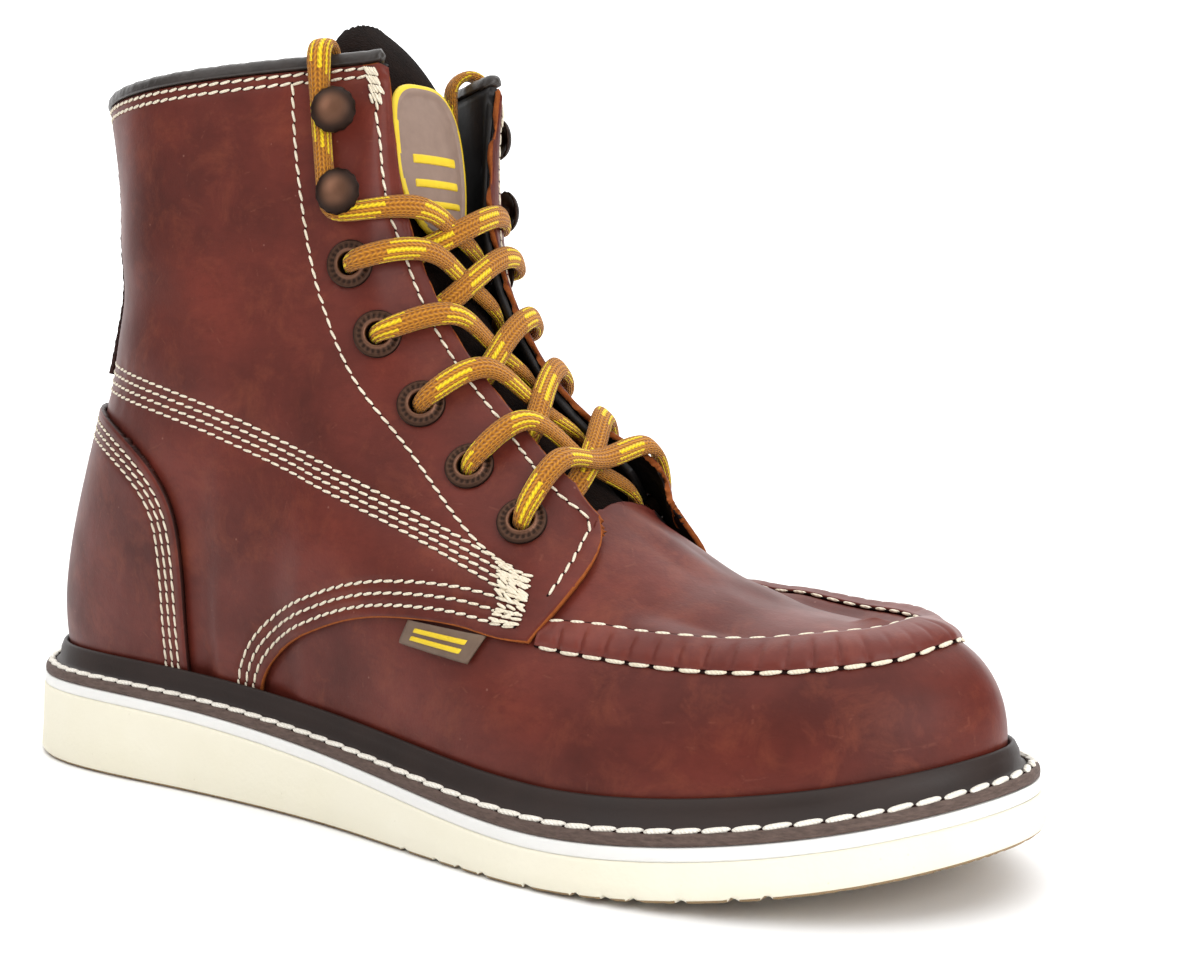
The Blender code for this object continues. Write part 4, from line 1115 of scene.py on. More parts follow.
binding_ring = spline(np.linspace(0, 1, len(BINDING) + 1), np.array(BINDING + BINDING[:1]), closed=True)
collar_q = np.linspace(-CORNER_ROW, CORNER_ROW, BINDING_POINTS)
collar_run = lengths(wall(collar_q, np.ones(BINDING_POINTS), 0.0))


def binding_shape(a, b):
    q = (2 * a - 1) * CORNER_ROW
    out, up = binding_ring(b % 1.0).T
    run = np.interp(a, np.linspace(0, 1, BINDING_POINTS), collar_run)
    wrinkle = (np.sin(run * 1.9 + 2.0 * np.sin(run * 0.31)) + np.sin(run * 0.77 + 1.3)) * WRINKLE_RISE
    end = np.minimum(run, collar_run[-1] - run)
    close = np.sqrt(np.clip(1 - (1 - np.clip(end / BINDING_END, 0, 1)) ** 2, 0.0, 1))
    plump = (1 + wrinkle * np.clip(up / BINDING_CROWN, 0, 1)) * close
    points = wall(q, np.ones(len(q)), BINDING_MIDDLE_OUT + (out - BINDING_MIDDLE_OUT) * plump)
    points[:, 2] += BINDING_MIDDLE_UP + (up - BINDING_MIDDLE_UP) * plump
    return points


bm = bmesh.new()
moved_grid(bm, *BINDING_GRID, binding_shape)
bmesh.ops.remove_doubles(bm, verts=bm.verts, dist=WELD)
bmesh.ops.recalc_face_normals(bm, faces=bm.faces)
finish_piece("collar_binding_roll", bm, [binding_leather()], ["collar_binding"])

# Tongue
# A curved flap of brown suede behind the throat, its nap out and its top edge left as it was cut.
TONGUE_COLUMNS = ("x", "z", "half", "drop")
TONGUE = (
    (206.0, 69.6, 16.0, 4.5),
    (199.5, 74.9, 18.0, 6.0),
    (191.5, 81.0, 20.0, 8.0),
    (176.5, 94.9, 21.5, 11.0),
    (157.8, 115.6, 23.0, 15.0),
    (145.2, 140.0, 24.5, 14.0),
    (141.2, 156.0, 25.5, 12.0),
    (138.0, 174.0, 22.5, 7.0),
    (131.8, 188.2, 18.5, 6.0),
    (125.0, 196.2, 15.0, 5.0),
    (120.5, 200.2, 8.0, 3.0),
)
TONGUE_THICK = 2.4
TONGUE_POWER = 2.5
TONGUE_GRID = (56, 150)
FRAY_COLUMNS = ("height", "rate", "start")
FRAY = ((0.5, 61.0, 0.0), (0.35, 143.0, 1.0), (0.25, 287.0, 2.0))
FRAY_RISE = 0.35
FRAY_FROM = 0.97
TONGUE_LAST = len(TONGUE) - 1
tongue_line = spline(np.arange(len(TONGUE)), TONGUE)


def tongue_points(row, share, lift):
    """Points of the tongue by row and share across it, lifted out of its middle surface."""
    x, z, half, drop = tongue_line(row).T
    ahead = tongue_line(row + 0.02) - tongue_line(row - 0.02)
    out = unit(np.column_stack([ahead[:, 1], np.zeros(len(row)), -ahead[:, 0]]))
    sink = lift - drop * np.abs(share) ** TONGUE_POWER
    points = np.column_stack([x, np.zeros(len(row)), z]) + sink[:, None] * out
    points[:, 1] = half * share
    return points


# Brown split suede: a matt nap about a millimetre long that lies in patches, lighter where brushed up.
def tongue_suede():
    made, tree, here = start_material(
        "brown_split_suede",
        {"Roughness": 0.95, "Specular IOR Level": 0.05, "Sheen Weight": 0.02, "Sheen Roughness": 0.5},
    )
    brushed = add(tree, "ShaderNodeTexNoise", {"Scale": 190.0, "Detail": 6.0, "Roughness": 0.7},
                  {"Vector": here})
    tone = add(tree, "ShaderNodeValToRGB", {}, {"Fac": brushed.outputs["Fac"]}, "Base Color")
    tone.color_ramp.elements[0].position = 0.3
    tone.color_ramp.elements[1].position = 0.75
    tone.color_ramp.elements[0].color = colour("#0b0605")
    tone.color_ramp.elements[1].color = colour("#20140f")
    nap = add(tree, "ShaderNodeTexNoise", {"Scale": 1600.0, "Detail": 4.0}, {"Vector": here})
    add(tree, "ShaderNodeBump", {"Strength": 0.8, "Distance": 0.0006},
        {"Height": nap.outputs["Fac"]}, "Normal")
    return made


def tongue_shape(a, b):
    row = b * TONGUE_LAST
    points = tongue_points(row, 2 * a - 1, TONGUE_THICK / 2)
    points[:, 2] += FRAY_RISE * waves(FRAY, a) * smooth_step(FRAY_FROM, 1.0, b)
    return points


bm = bmesh.new()
moved_grid(bm, *TONGUE_GRID, tongue_shape)
bmesh.ops.recalc_face_normals(bm, faces=bm.faces)
tongue = finish_piece("tongue_flap", bm, [tongue_suede()], ["tongue"])
add_wall(tongue, TONGUE_THICK, 0, 0)

# Tongue patch
# A soft moulded badge sewn to the tongue: a taupe field in a raised yellow rim, with plain bars
# moulded across it.
PATCH_LOW = 5.1
PATCH_HIGH = 7.55
PATCH_HALF = 13.5
PATCH_THICK = 2.0
PATCH_RIM = 0.87
PATCH_RIM_RISE = 0.7
PATCH_RIM_SOFT = 0.03
PATCH_RIM_END = 0.975
PATCH_RIM_WIDE = 0.0017
PATCH_RIM_LEAN = 0.0012
PATCH_DIP = 0.6
PATCH_SQUARE = 0.62
PATCH_NARROW = 0.22
PATCH_GRID = (128, 40)
PATCH_POINTS = 400
PATCH_BARS = (-0.46, -0.18, 0.10)
PATCH_BAR_HALF = 0.055
PATCH_BAR_LONG = 0.62
PATCH_BAR_DIP = 0.75
PATCH_BAR_RISE = 0.6
PATCH_BAR_WALL = 0.5
PATCH_BAR_ENDS = 14
PATCH_BAR_GRID = (40, 8)
PATCH_LIFT = TONGUE_THICK / 2 + 3 * GAP


# Moulded soft PVC: matt, with a faint pebble from its mould.
def moulded_rubber(name, low, high, rough):
    made, tree, here = start_material(name, {"Roughness": rough, "Specular IOR Level": 0.45})
    cloud = add(tree, "ShaderNodeTexNoise", {"Scale": 320.0, "Detail": 3.0}, {"Vector": here})
    add(tree, "ShaderNodeMixRGB", {"Color1": colour(low), "Color2": colour(high)},
        {"Fac": cloud.outputs["Fac"]}, "Base Color")
    add(tree, "ShaderNodeBump", {"Strength": 0.2, "Distance": 0.0003},
        {"Height": cloud.outputs["Fac"]}, "Normal")
    return made


taupe_rubber = moulded_rubber("taupe_moulded_rubber", "#7d675b", "#957d6f", 0.6)
yellow_rubber = moulded_rubber("yellow_moulded_rubber", "#d9b714", "#efd02a", 0.5)


def patch_spot(angle, radius):
    """A point of the badge's rounded field: along the tongue and across it, each -1 to 1."""
    c = np.cos(angle)
    d = np.sin(angle)
    along = np.sign(d) * np.abs(d) ** PATCH_SQUARE * radius
    across = np.sign(c) * np.abs(c) ** PATCH_SQUARE * radius
    return along, across


def patch_row(along):
    return (PATCH_LOW + PATCH_HIGH) / 2 + along * (PATCH_HIGH - PATCH_LOW) / 2


def bar_crown(a, b, ends):
    """The rounded top of a moulded bar: 0 at its edges, 1 in its middle, blunter ends at a higher power."""
    over = np.sqrt(np.clip(1 - np.abs(2 * b - 1) ** 3, 0, 1))
    return over * np.sqrt(np.clip(1 - np.abs(2 * a - 1) ** ends, 0, 1))


def patch_shape(a, b):
    along, across = patch_spot(a * 2 * math.pi, b)
    row = patch_row(along)
    narrow = 1 - PATCH_NARROW * smooth_step(0.1, -1.0, along)
    share = across * narrow * PATCH_HALF / tongue_line(row)[:, 2]
    rim = smooth_step(PATCH_RIM - PATCH_RIM_SOFT, PATCH_RIM, b) * (1 - smooth_step(PATCH_RIM_END, 1.0, b))
    return tongue_points(row, share, PATCH_LIFT + PATCH_THICK - PATCH_DIP + PATCH_RIM_RISE * rim)


bm = bmesh.new()
moved_grid(bm, *PATCH_GRID, patch_shape)
bmesh.ops.remove_doubles(bm, verts=bm.verts, dist=WELD)
bmesh.ops.recalc_face_normals(bm, faces=bm.faces)
middles = [face.calc_center_median() for face in bm.faces]
patch_round = np.linspace(0, 1, PATCH_POINTS)
rim_far, mid_far = [nearest(middles, place(patch_shape(patch_round, np.full(PATCH_POINTS, radius))))
                    for radius in (1.0, PATCH_RIM)]
for face, to_rim, to_mid in zip(bm.faces, rim_far, mid_far):
    face.material_index = 1 if to_rim < PATCH_RIM_WIDE and to_rim < to_mid + PATCH_RIM_LEAN else 0
patch_skins = [taupe_rubber, yellow_rubber]
tongue_patch = finish_piece("tongue_badge", bm, patch_skins, ["tongue_patch"])
add_wall(tongue_patch, PATCH_THICK - PATCH_DIP, 0, 0)
bm = bmesh.new()
for middle in PATCH_BARS:
    def bar_shape(a, b, middle=middle):
        along = middle + PATCH_BAR_HALF * (2 * b - 1)
        across = PATCH_BAR_LONG * (2 * a - 1)
        row = patch_row(along)
        crown = bar_crown(a, b, PATCH_BAR_ENDS)
        lift = PATCH_LIFT + PATCH_THICK - PATCH_BAR_DIP + PATCH_BAR_RISE * crown
        return tongue_points(row, across * PATCH_HALF / tongue_line(row)[:, 2], lift)

    moved_grid(bm, *PATCH_BAR_GRID, bar_shape)
bmesh.ops.recalc_face_normals(bm, faces=bm.faces)
badge_bars = finish_piece("tongue_badge_bars", bm, [yellow_rubber])
add_wall(badge_bars, PATCH_BAR_WALL, 0, 0)

# Side tab
# A small moulded tag caught under the quarter's edge, brown with a plain yellow bar.
TAB_COLUMNS = ("x", "z")
TAB_CORNERS = np.array(((169.1, 52.4), (192.6, 50.8), (188.6, 44.2), (166.4, 46.8)))
TAB_THICK = 1.4
TAB_ROUND = 0.35
TAB_END_SOFT = 0.06
TAB_FOOT_SOFT = 0.12
TAB_GRID = (30, 12)
TAB_BAR_COLUMNS = ("a_from", "a_to", "b_from", "b_to")
TAB_BARS = ((0.14, 0.86, 0.56, 0.76), (0.14, 0.86, 0.24, 0.44))
TAB_BAR_DIP = 0.1
TAB_BAR_RISE = 0.45
TAB_BAR_WALL = 0.4
TAB_BAR_ENDS = 16
TAB_BAR_GRID = (24, 6)
brown_rubber = moulded_rubber("brown_moulded_rubber", "#5f4a3c", "#75604f", 0.55)


def tab_side_view(a, b):
    a = np.asarray(a)[:, None]
    b = np.asarray(b)[:, None]
    rear = (1 - b) * TAB_CORNERS[3] + b * TAB_CORNERS[0]
    front = (1 - b) * TAB_CORNERS[2] + b * TAB_CORNERS[1]
    return (1 - a) * rear + a * front


def tab_shape(a, b, lift=None):
    spots = locate(*tab_side_view(a, b).T)
    at_ends = 1 - smooth_step(0, TAB_END_SOFT, np.minimum(a, 1 - a))
    at_foot = 1 - smooth_step(0, TAB_FOOT_SOFT, b)
    top = TAB_THICK - TAB_ROUND * (at_ends + at_foot) if lift is None else lift
    return wall(-spots[:, 0], spots[:, 1], GAP + top)


bm = bmesh.new()
moved_grid(bm, *TAB_GRID, tab_shape)
bmesh.ops.recalc_face_normals(bm, faces=bm.faces)
side_tab = finish_piece("side_tab_tag", bm, [brown_rubber], ["side_tab"])
add_wall(side_tab, TAB_THICK - TAB_ROUND, 0, 0)
bm = bmesh.new()
for bar in TAB_BARS:
    def tab_bar(a, b, bar=bar):
        a_from, a_to, b_from, b_to = bar
        lift = TAB_THICK - TAB_BAR_DIP + TAB_BAR_RISE * bar_crown(a, b, TAB_BAR_ENDS)
        return tab_shape(a_from + (a_to - a_from) * a, b_from + (b_to - b_from) * b, lift)

    moved_grid(bm, *TAB_BAR_GRID, tab_bar)
bmesh.ops.recalc_face_normals(bm, faces=bm.faces)
tab_bars = finish_piece("side_tab_bars", bm, [yellow_rubber])
add_wall(tab_bars, TAB_BAR_WALL, 0, 0)

# Stitching of the upper
# Waxed off-white thread, lockstitched: each stitch is a short plump run that dives into a needle hole
# at both ends, a little askew to its row, with the hole between it and the next painted as a dark speck of
# shade.
THREAD_RADIUS = 0.37
THREAD_FLAT = 0.85
THREAD_PROUD = 0.35
STITCH_SHARE = 0.86
STITCH_TUCK = 1.06
STITCH_SKEW = 0.15
SKEW_SPREAD = 0.035
HOLE_WIDE = 0.85
HOLE_LONG = 0.8
HOLE_DEEP = 0.14
HOLE_PROUD = 0.02
WAY_STEP = 0.4
STITCH_POINTS = 240
TACK_POINTS = 30
TACK_RADIUS = 0.4
TACK_SHARE = 1.06
TACK_HOLE = 0.4
TACK_PROUD = 0.12
TACK_SKEW = 0.2
TACK_SCATTER = 0.35


# Bonded polyester thread: off-white, slightly shiny, with its twist as fine slanting lines.
def thread(name, low, high):
    made, tree, here = start_material(name, {"Roughness": 0.55, "Specular IOR Level": 0.4})
    fluff = add(tree, "ShaderNodeTexNoise", {"Scale": 700.0, "Detail": 3.0}, {"Vector": here})
    add(tree, "ShaderNodeMixRGB", {"Color1": colour(low), "Color2": colour(high)},
        {"Fac": fluff.outputs["Fac"]}, "Base Color")
    twist = add(tree, "ShaderNodeTexWave",
                {"Scale": 520.0, "Distortion": 1.5, "bands_direction": "DIAGONAL"}, {"Vector": here})
    add(tree, "ShaderNodeBump", {"Strength": 0.4, "Distance": 0.0003},
        {"Height": twist.outputs["Fac"]}, "Normal")
    return made


# The inside of a needle hole: painted shade, with some wax.
def needle_hole():
    made, tree, here = start_material("needle_hole_shadow", {"Roughness": 0.9, "Specular IOR Level": 0.1})
    shade_and_wax_tone = add(tree, "ShaderNodeTexNoise", {"Scale": 900.0}, {"Vector": here})
    add(tree, "ShaderNodeMixRGB", {"Color1": colour("#120908"), "Color2": colour("#2a1512")},
        {"Fac": shade_and_wax_tone.outputs["Fac"]}, "Base Color")
    return made


upper_thread = thread("off_white_thread", "#d8c9ac", "#f2e9d6")
hole_shade = needle_hole()


def bead(segments, rings):
    """One plump stitch of unit size along x, as corner and face arrays."""
    bm = bmesh.new()
    bmesh.ops.create_uvsphere(bm, u_segments=segments, v_segments=rings, radius=1.0)
    bm.verts.index_update()
    corners = np.array([(v.co.z, v.co.x, v.co.y) for v in bm.verts])
    corners[:, 0] = np.sign(corners[:, 0]) * np.abs(corners[:, 0]) ** 0.6
    faces = [[v.index for v in f.verts] for f in bm.faces]
    bm.free()
    return corners, faces


BEAD = bead(7, 6)
SPECK = bead(6, 4)


def strew(shape, centres, along, out, half_long, half_wide, half_high):
    """Copies of a small shape, each turned to its own way and outward direction."""
    corners, faces = shape
    across = np.cross(out, along)
    points = (centres[:, None] + corners[None, :, :1] * along[:, None] * half_long
              + corners[None, :, 1:2] * across[:, None] * half_wide
              + corners[None, :, 2:] * out[:, None] * half_high)
    count = len(corners)
    joined = [[i + count * n for i in face] for n in range(len(centres)) for face in faces]
    return points.reshape(-1, 3), joined


def joined_piece(name, parts, materials):
    """One mesh from many arrays of small shapes; each part is points, faces and a material number."""
    points = []
    faces = []
    skins = []
    for corners, polygons, skin in parts:
        start = len(points)
        points.extend(place(corners).tolist())
        faces.extend([[i + start for i in face] for face in polygons])
        skins.extend([skin] * len(polygons))
    mesh = bpy.data.meshes.new(name)
    mesh.from_pydata(points, [], faces)
    for skin in materials:
        mesh.materials.append(skin)
    mesh.polygons.foreach_set("material_index", skins)
    mesh.polygons.foreach_set("use_smooth", [True] * len(faces))
    mesh.update()
    bm = bmesh.new()
    bm.from_mesh(mesh)
    bmesh.ops.recalc_face_normals(bm, faces=bm.faces)
    bm.to_mesh(mesh)
    bm.free()
    made = bpy.data.objects.new(name, mesh)
    bpy.context.scene.collection.objects.link(made)
    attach(made, "root")
    return made


draws = np.random.default_rng(11)


def stitches(q, v, lift, pitch=STITCH_PITCH, radius=THREAD_RADIUS, share=STITCH_SHARE, skew=STITCH_SKEW,
             hole=HOLE_WIDE):
    """Thread, and needle holes as dark specks of painted shade, along a row given by close q and v points on
    one layer.
    """
    points = wall(q, v, lift)
    run = lengths(points)
    count = max(int(round(run[-1] / pitch)), 1)
    step = run[-1] / count
    at = (np.arange(count) + 0.5) * step
    gap = np.arange(count + 1) * step

    def on_row(t):
        t = np.clip(t, 0, run[-1])
        where_q = np.interp(t, run, q)
        where_v = np.interp(t, run, v)
        centre = wall(where_q, where_v, lift)
        ahead = np.clip(t + WAY_STEP, 0, run[-1])
        behind = np.clip(t - WAY_STEP, 0, run[-1])
        way = unit(wall(np.interp(ahead, run, q), np.interp(ahead, run, v), lift)
                   - wall(np.interp(behind, run, q), np.interp(behind, run, v), lift))
        return centre, way, outward(where_q, where_v)

    centre, way, out = on_row(at)
    tilt = skew + draws.normal(0, SKEW_SPREAD, count)
    way = unit(way + np.cross(out, way) * tilt[:, None])
    half_long = step * share / 2 * STITCH_TUCK
    proud = centre + out * radius * THREAD_PROUD
    threads = strew(BEAD, proud, way, out, half_long, radius, radius * THREAD_FLAT)
    centre, way, out = on_row(gap)
    half_long = step * (1 - share) * HOLE_LONG
    holes = strew(SPECK, centre + out * HOLE_PROUD, way, out, half_long, radius * hole, HOLE_DEEP)
    return [(*threads, 0), (*holes, 1)]


def row_on(side, line, lift, **settings):
    s, v = evenly(line, STITCH_POINTS).T
    return stitches(side * s, v, lift, **settings)


def bar_tack(corners, lift, side, rows, pitch):
    """A dense block of zigzag thread between four corners in the side view."""
    parts = []
    corners = np.array(corners, float)
    for number in range(rows):
        t = (number + 0.5) / rows
        ends = np.array([corners[0] * (1 - t) + corners[3] * t, corners[1] * (1 - t) + corners[2] * t])
        ends = ends + draws.normal(0, TACK_SCATTER, (2, 2))
        s, v = evenly(locate(*np.linspace(ends[0], ends[1], 5).T), TACK_POINTS).T
        parts += stitches(side * s, v, lift + TACK_PROUD, pitch=pitch, radius=TACK_RADIUS, share=TACK_SHARE,
                          skew=draws.normal(0, TACK_SKEW), hole=TACK_HOLE)
    return parts


QUARTER_TACK_COLUMNS = ("corners in x and z", "rows", "pitch")
QUARTER_TACKS = (
    (((191.5, 67.2), (199.0, 64.4), (200.2, 57.6), (192.6, 60.6)), 13, 2.6),
    (((193.8, 58.8), (200.0, 57.4), (199.4, 53.0), (193.2, 54.4)), 8, 2.4),
)
COLLAR_TACK_COLUMNS = ("s", "v")
COLLAR_TACK_REAR = np.array(((3.905, 0.9965), (3.95, 0.9688), (3.98, 0.94)))
COLLAR_TACK_FRONT = np.array(((3.955, 0.993), (3.995, 0.9675), (4.045, 0.9475)))
COLLAR_TACK_SHARES = (0.0, 0.25, 0.5, 0.75, 1.0)
COLLAR_TACK_PROUD = 0.1
COLLAR_TACK_PITCH = 2.4
COLLAR_TACK_SKEW = 0.3
parts = []
for side in SIDES:
    for line in quarter_stitch_lines:
        parts += row_on(side, line, LAYER - STITCH_SINK)
    for corners, rows, pitch in QUARTER_TACKS:
        parts += bar_tack(corners, LAYER, side, rows, pitch)
    for share in COLLAR_TACK_SHARES:
        line = COLLAR_TACK_REAR * (1 - share) + COLLAR_TACK_FRONT * share
        parts += row_on(side, line, LAYER + COLLAR_TACK_PROUD, pitch=COLLAR_TACK_PITCH, radius=TACK_RADIUS,
                        share=TACK_SHARE, skew=COLLAR_TACK_SKEW, hole=TACK_HOLE)
    for line in counter_rows:
        parts += row_on(side, line, COUNTER_LIFT - STITCH_SINK)
    parts += row_on(side, backstay_row, BACKSTAY_LIFT)
joined_piece("quarter_stitching", parts, [upper_thread, hole_shade])

SEAM_THREAD_COLUMNS = ("b", "lift", "pitch", "radius", "share", "skew")
SEAM_THREADS = (
    (SEAM_OUTER_B, OUTER_THREAD_LIFT, PUCKER_PITCH, 0.6, 0.79, 0.07),
    (SEAM_INNER_B, 0.5, 5.2, 0.46, 0.66, 0.06),
)
parts = []
for b, lift, pitch, radius, share, skew in SEAM_THREADS:
    q, v = seam_spot(seam_a, np.full(SEAM_POINTS, b))
    parts += stitches(q, v, lift, pitch, radius, share, skew)
joined_piece("toe_seam_stitching", parts, [upper_thread, hole_shade])

# Eyelets and hooks
# Stamped brass, plated and browned as antique copper: a two-part eyelet with a rolled barrel and a
# beaded flange, and a domed speed hook whose skirt is cut into teeth.
EYELET_PROFILE_COLUMNS = ("radius", "height")
EYELET_PROFILE = ((5.95, 0.15), (5.95, 0.7), (5.6, 1.05), (5.1, 1.1), (4.75, 0.95), (4.1, 1.0), (3.75, 1.35),
                  (3.35, 1.6), (2.95, 1.35), (2.8, 0.8), (2.8, -3.6), (3.2, -3.6), (3.3, 0.15))
HOOK_PROFILE_COLUMNS = ("radius", "height")
HOOK_PROFILE = ((0.0, 7.1), (0.9, 7.06), (1.8, 6.94), (2.7, 6.74), (3.5, 6.46), (4.2, 6.12), (4.8, 5.7),
                (5.25, 5.22), (5.55, 4.75), (5.72, 4.3), (5.5, 4.05), (4.9, 4.3), (4.2, 4.55), (2.0, 4.7),
                (1.7, 4.4), (1.7, 0.9), (2.2, 0.55), (2.2, 0.1), (0.0, 0.1))
FITTING_SIDES = 84
HOOK_TEETH = 14
TOOTH_DEEP = 0.1
SKIRT = (5.3, 5.7)
DOME = (0.5, 5.0)
DOME_FROM = 4.9
BEADS = 21
BEAD_RISE = 0.2
FLANGE_IN = (3.9, 4.3)
FLANGE_OUT = (4.9, 5.2)
FLANGE_FROM = 0.6


# Browned copper plate: dark and dull in its hollows and at its rims, brighter on its crowns, partly from
# rubbed wear and partly as a painted sheen, with painted shade at the rims.
def antique_copper():
    made, tree, here = start_material("browned_copper_plate", {"Metallic": 0.9})
    rubbed = add(tree, "ShaderNodeTexNoise", {"Scale": 300.0, "Detail": 3.0}, {"Vector": here})
    sheen_and_wear_attribute = add(tree, "ShaderNodeAttribute", {"attribute_name": "painted_sheen_and_wear"})
    uneven = add(tree, "ShaderNodeMapRange", {"To Min": 0.75, "To Max": 1.15},
                 {"Value": rubbed.outputs["Fac"]})
    mixed = add(tree, "ShaderNodeMath", {"operation": "MULTIPLY", "use_clamp": True},
                {0: sheen_and_wear_attribute.outputs["Fac"], 1: uneven.outputs["Result"]})
    add(tree, "ShaderNodeMixRGB", {"Color1": colour("#2e211b"), "Color2": colour("#8f6650")},
        {"Fac": mixed.outputs["Value"]}, "Base Color")
    add(tree, "ShaderNodeMapRange", {"To Min": 0.52, "To Max": 0.36},
        {"Value": mixed.outputs["Value"]}, "Roughness")
    add(tree, "ShaderNodeBump", {"Strength": 0.12, "Distance": 0.0002},
        {"Height": rubbed.outputs["Fac"]}, "Normal")
    return made


copper = antique_copper()


def turned_piece(name, node, seat, profile, close, detail):
    """A profile spun about the outward way of its seat; detail moves each point by its angle."""
    point, out, up = seat
    right = np.cross(up, out)
    bm = bmesh.new()
    rows = list(profile) + ([profile[0]] if close else [])
    corners = [bm.verts.new((radius, 0.0, height)) for radius, height in rows]
    edges = [bm.edges.new(pair) for pair in zip(corners, corners[1:])]
    bmesh.ops.spin(bm, geom=corners + edges, cent=(0, 0, 0), axis=(0, 0, 1), angle=2 * math.pi,
                   steps=FITTING_SIDES, use_merge=True)
    bmesh.ops.remove_doubles(bm, verts=bm.verts, dist=0.001)
    bmesh.ops.recalc_face_normals(bm, faces=bm.faces)
    local = np.array([v.co for v in bm.verts])
    radius = np.hypot(local[:, 0], local[:, 1])
    angle = np.arctan2(local[:, 1], local[:, 0])
    radius, height, painted_sheen_and_wear = detail(radius, angle, local[:, 2])
    world = (point + out * height[:, None] + right * (radius * np.cos(angle))[:, None]
             + up * (radius * np.sin(angle))[:, None])
    # Each point keeps a value of painted sheen and wear that lightens the copper's colour.
    sheen_and_wear_attribute = bm.verts.layers.float.new("painted_sheen_and_wear")
    for vert, spot, sheen_and_wear_value in zip(bm.verts, place(world), painted_sheen_and_wear):
        vert.co = spot
        vert[sheen_and_wear_attribute] = sheen_and_wear_value
    return finish_piece(name, bm, [copper], [node])


def eyelet_detail(radius, angle, height):
    flange = smooth_step(*FLANGE_IN, radius) * (1 - smooth_step(*FLANGE_OUT, radius))
    raised = height + BEAD_RISE * flange * (height > FLANGE_FROM) * np.cos(BEADS * angle)
    # Lighter on the raised barrel and flange: painted sheen there, with rubbed wear.
    return radius, raised, 0.65 * smooth_step(0.8, 1.6, raised)


def hook_detail(radius, angle, height):
    tooth = TOOTH_DEEP * smooth_step(*SKIRT, radius) * np.clip(1.6 * np.cos(HOOK_TEETH * angle), -1, 1)
    # Lighter at the dome's centre and darker toward its rim: painted sheen and shade, with rubbed wear.
    return radius + tooth, height, (1 - smooth_step(*DOME, radius)) * (height > DOME_FROM)


for side in SIDES:
    for number, spot in enumerate(EYELETS, 1):
        node = "eyelet_%s_%d" % (SIDE_NAMES[side], number)
        turned_piece(node + "_ring", node, seats[side, spot], EYELET_PROFILE, True, eyelet_detail)
    for number, spot in enumerate(HOOKS, 1):
        node = "hook_%s_%d" % (SIDE_NAMES[side], number)
        turned_piece(node + "_dome", node, seats[side, spot], HOOK_PROFILE, False, hook_detail)

# Insole
# A dark board with a thin cover, glued inside the upper; only its surface shows, deep in the boot.
def insole_cover():
    made, tree, here = start_material("insole_cover_board", {"Roughness": 0.85})
    fibre = add(tree, "ShaderNodeTexNoise", {"Scale": 300.0, "Detail": 4.0}, {"Vector": here})
    add(tree, "ShaderNodeMixRGB", {"Color1": colour("#1c1917"), "Color2": colour("#332d28")},
        {"Fac": fibre.outputs["Fac"]}, "Base Color")
    add(tree, "ShaderNodeBump", {"Strength": 0.4, "Distance": 0.0004},
        {"Height": fibre.outputs["Fac"]}, "Normal")
    return made


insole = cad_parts["insole"]
insole.data.materials.clear()
insole.data.materials.append(insole_cover())

# Welt
# A storm welt of moulded rubber: a tall lip that stands against the upper, a cove, a stitch groove
# and a rounded edge trimmed flush with the midsole, where the rubber is paler and shows its grain.
WELT_LIP_COLUMNS = ("up", "clear")
WELT_LIP = ((0.3, 0.3), (4.3, 0.4), (8.3, 0.4), (8.75, 0.75), (8.8, 1.2), (8.3, 1.65), (7.4, 2.1),
            (6.5, 2.6))
WELT_LEDGE_COLUMNS = ("inset", "up")
WELT_LEDGE = ((5.6, 3.75), (4.9, 3.35), (4.5, 3.05), (4.1, 2.6), (3.5, 2.4), (2.95, 2.5), (2.7, 2.75),
              (2.35, 2.7), (1.95, 2.45), (1.65, 2.0), (1.5, 1.5), (1.45, 0.9), (1.5, 0.3))
TRIMMED_FROM = 6
WELT_EDGE_FROM = len(WELT_LIP) + TRIMMED_FROM
WELT_COLUMNS_ROUND = 420


# Moulded rubber, dark brown: satin on the cove from its mould.
def welt_rubber():
    made, tree, here = start_material("dark_moulded_welt_rubber", {"Specular IOR Level": 0.3})
    cloud = add(tree, "ShaderNodeTexNoise", {"Scale": 90.0, "Detail": 5.0}, {"Vector": here})
    add(tree, "ShaderNodeMixRGB", {"Color1": colour("#1d1411"), "Color2": colour("#30221d")},
        {"Fac": cloud.outputs["Fac"]}, "Base Color")
    add(tree, "ShaderNodeMapRange", {"To Min": 0.4, "To Max": 0.6},
        {"Value": cloud.outputs["Fac"]}, "Roughness")
    grit = add(tree, "ShaderNodeTexNoise", {"Scale": 1100.0, "Detail": 2.0}, {"Vector": here})
    add(tree, "ShaderNodeBump", {"Strength": 0.12, "Distance": 0.0003},
        {"Height": grit.outputs["Fac"]}, "Normal")
    return made


# The same rubber where the trimming wheel has cut it: paler, dull, with long streaks.
def trimmed_rubber():
    made, tree, here = start_material("trimmed_welt_rubber", {"Roughness": 0.72, "Specular IOR Level": 0.3})
    lay = add(tree, "ShaderNodeMapping", {"Scale": (380.0, 380.0, 1700.0)}, {"Vector": here})
    streak = add(tree, "ShaderNodeTexNoise", {"Scale": 1.0, "Detail": 6.0, "Roughness": 0.7},
                 {"Vector": lay.outputs["Vector"]})
    tone = add(tree, "ShaderNodeValToRGB", {}, {"Fac": streak.outputs["Fac"]}, "Base Color")
    tone.color_ramp.elements[0].position = 0.32
    tone.color_ramp.elements[1].position = 0.7
    tone.color_ramp.elements[0].color = colour("#483a34")
    tone.color_ramp.elements[1].color = colour("#6a5850")
    add(tree, "ShaderNodeBump", {"Strength": 0.35, "Distance": 0.0004},
        {"Height": streak.outputs["Fac"]}, "Normal")
    return made


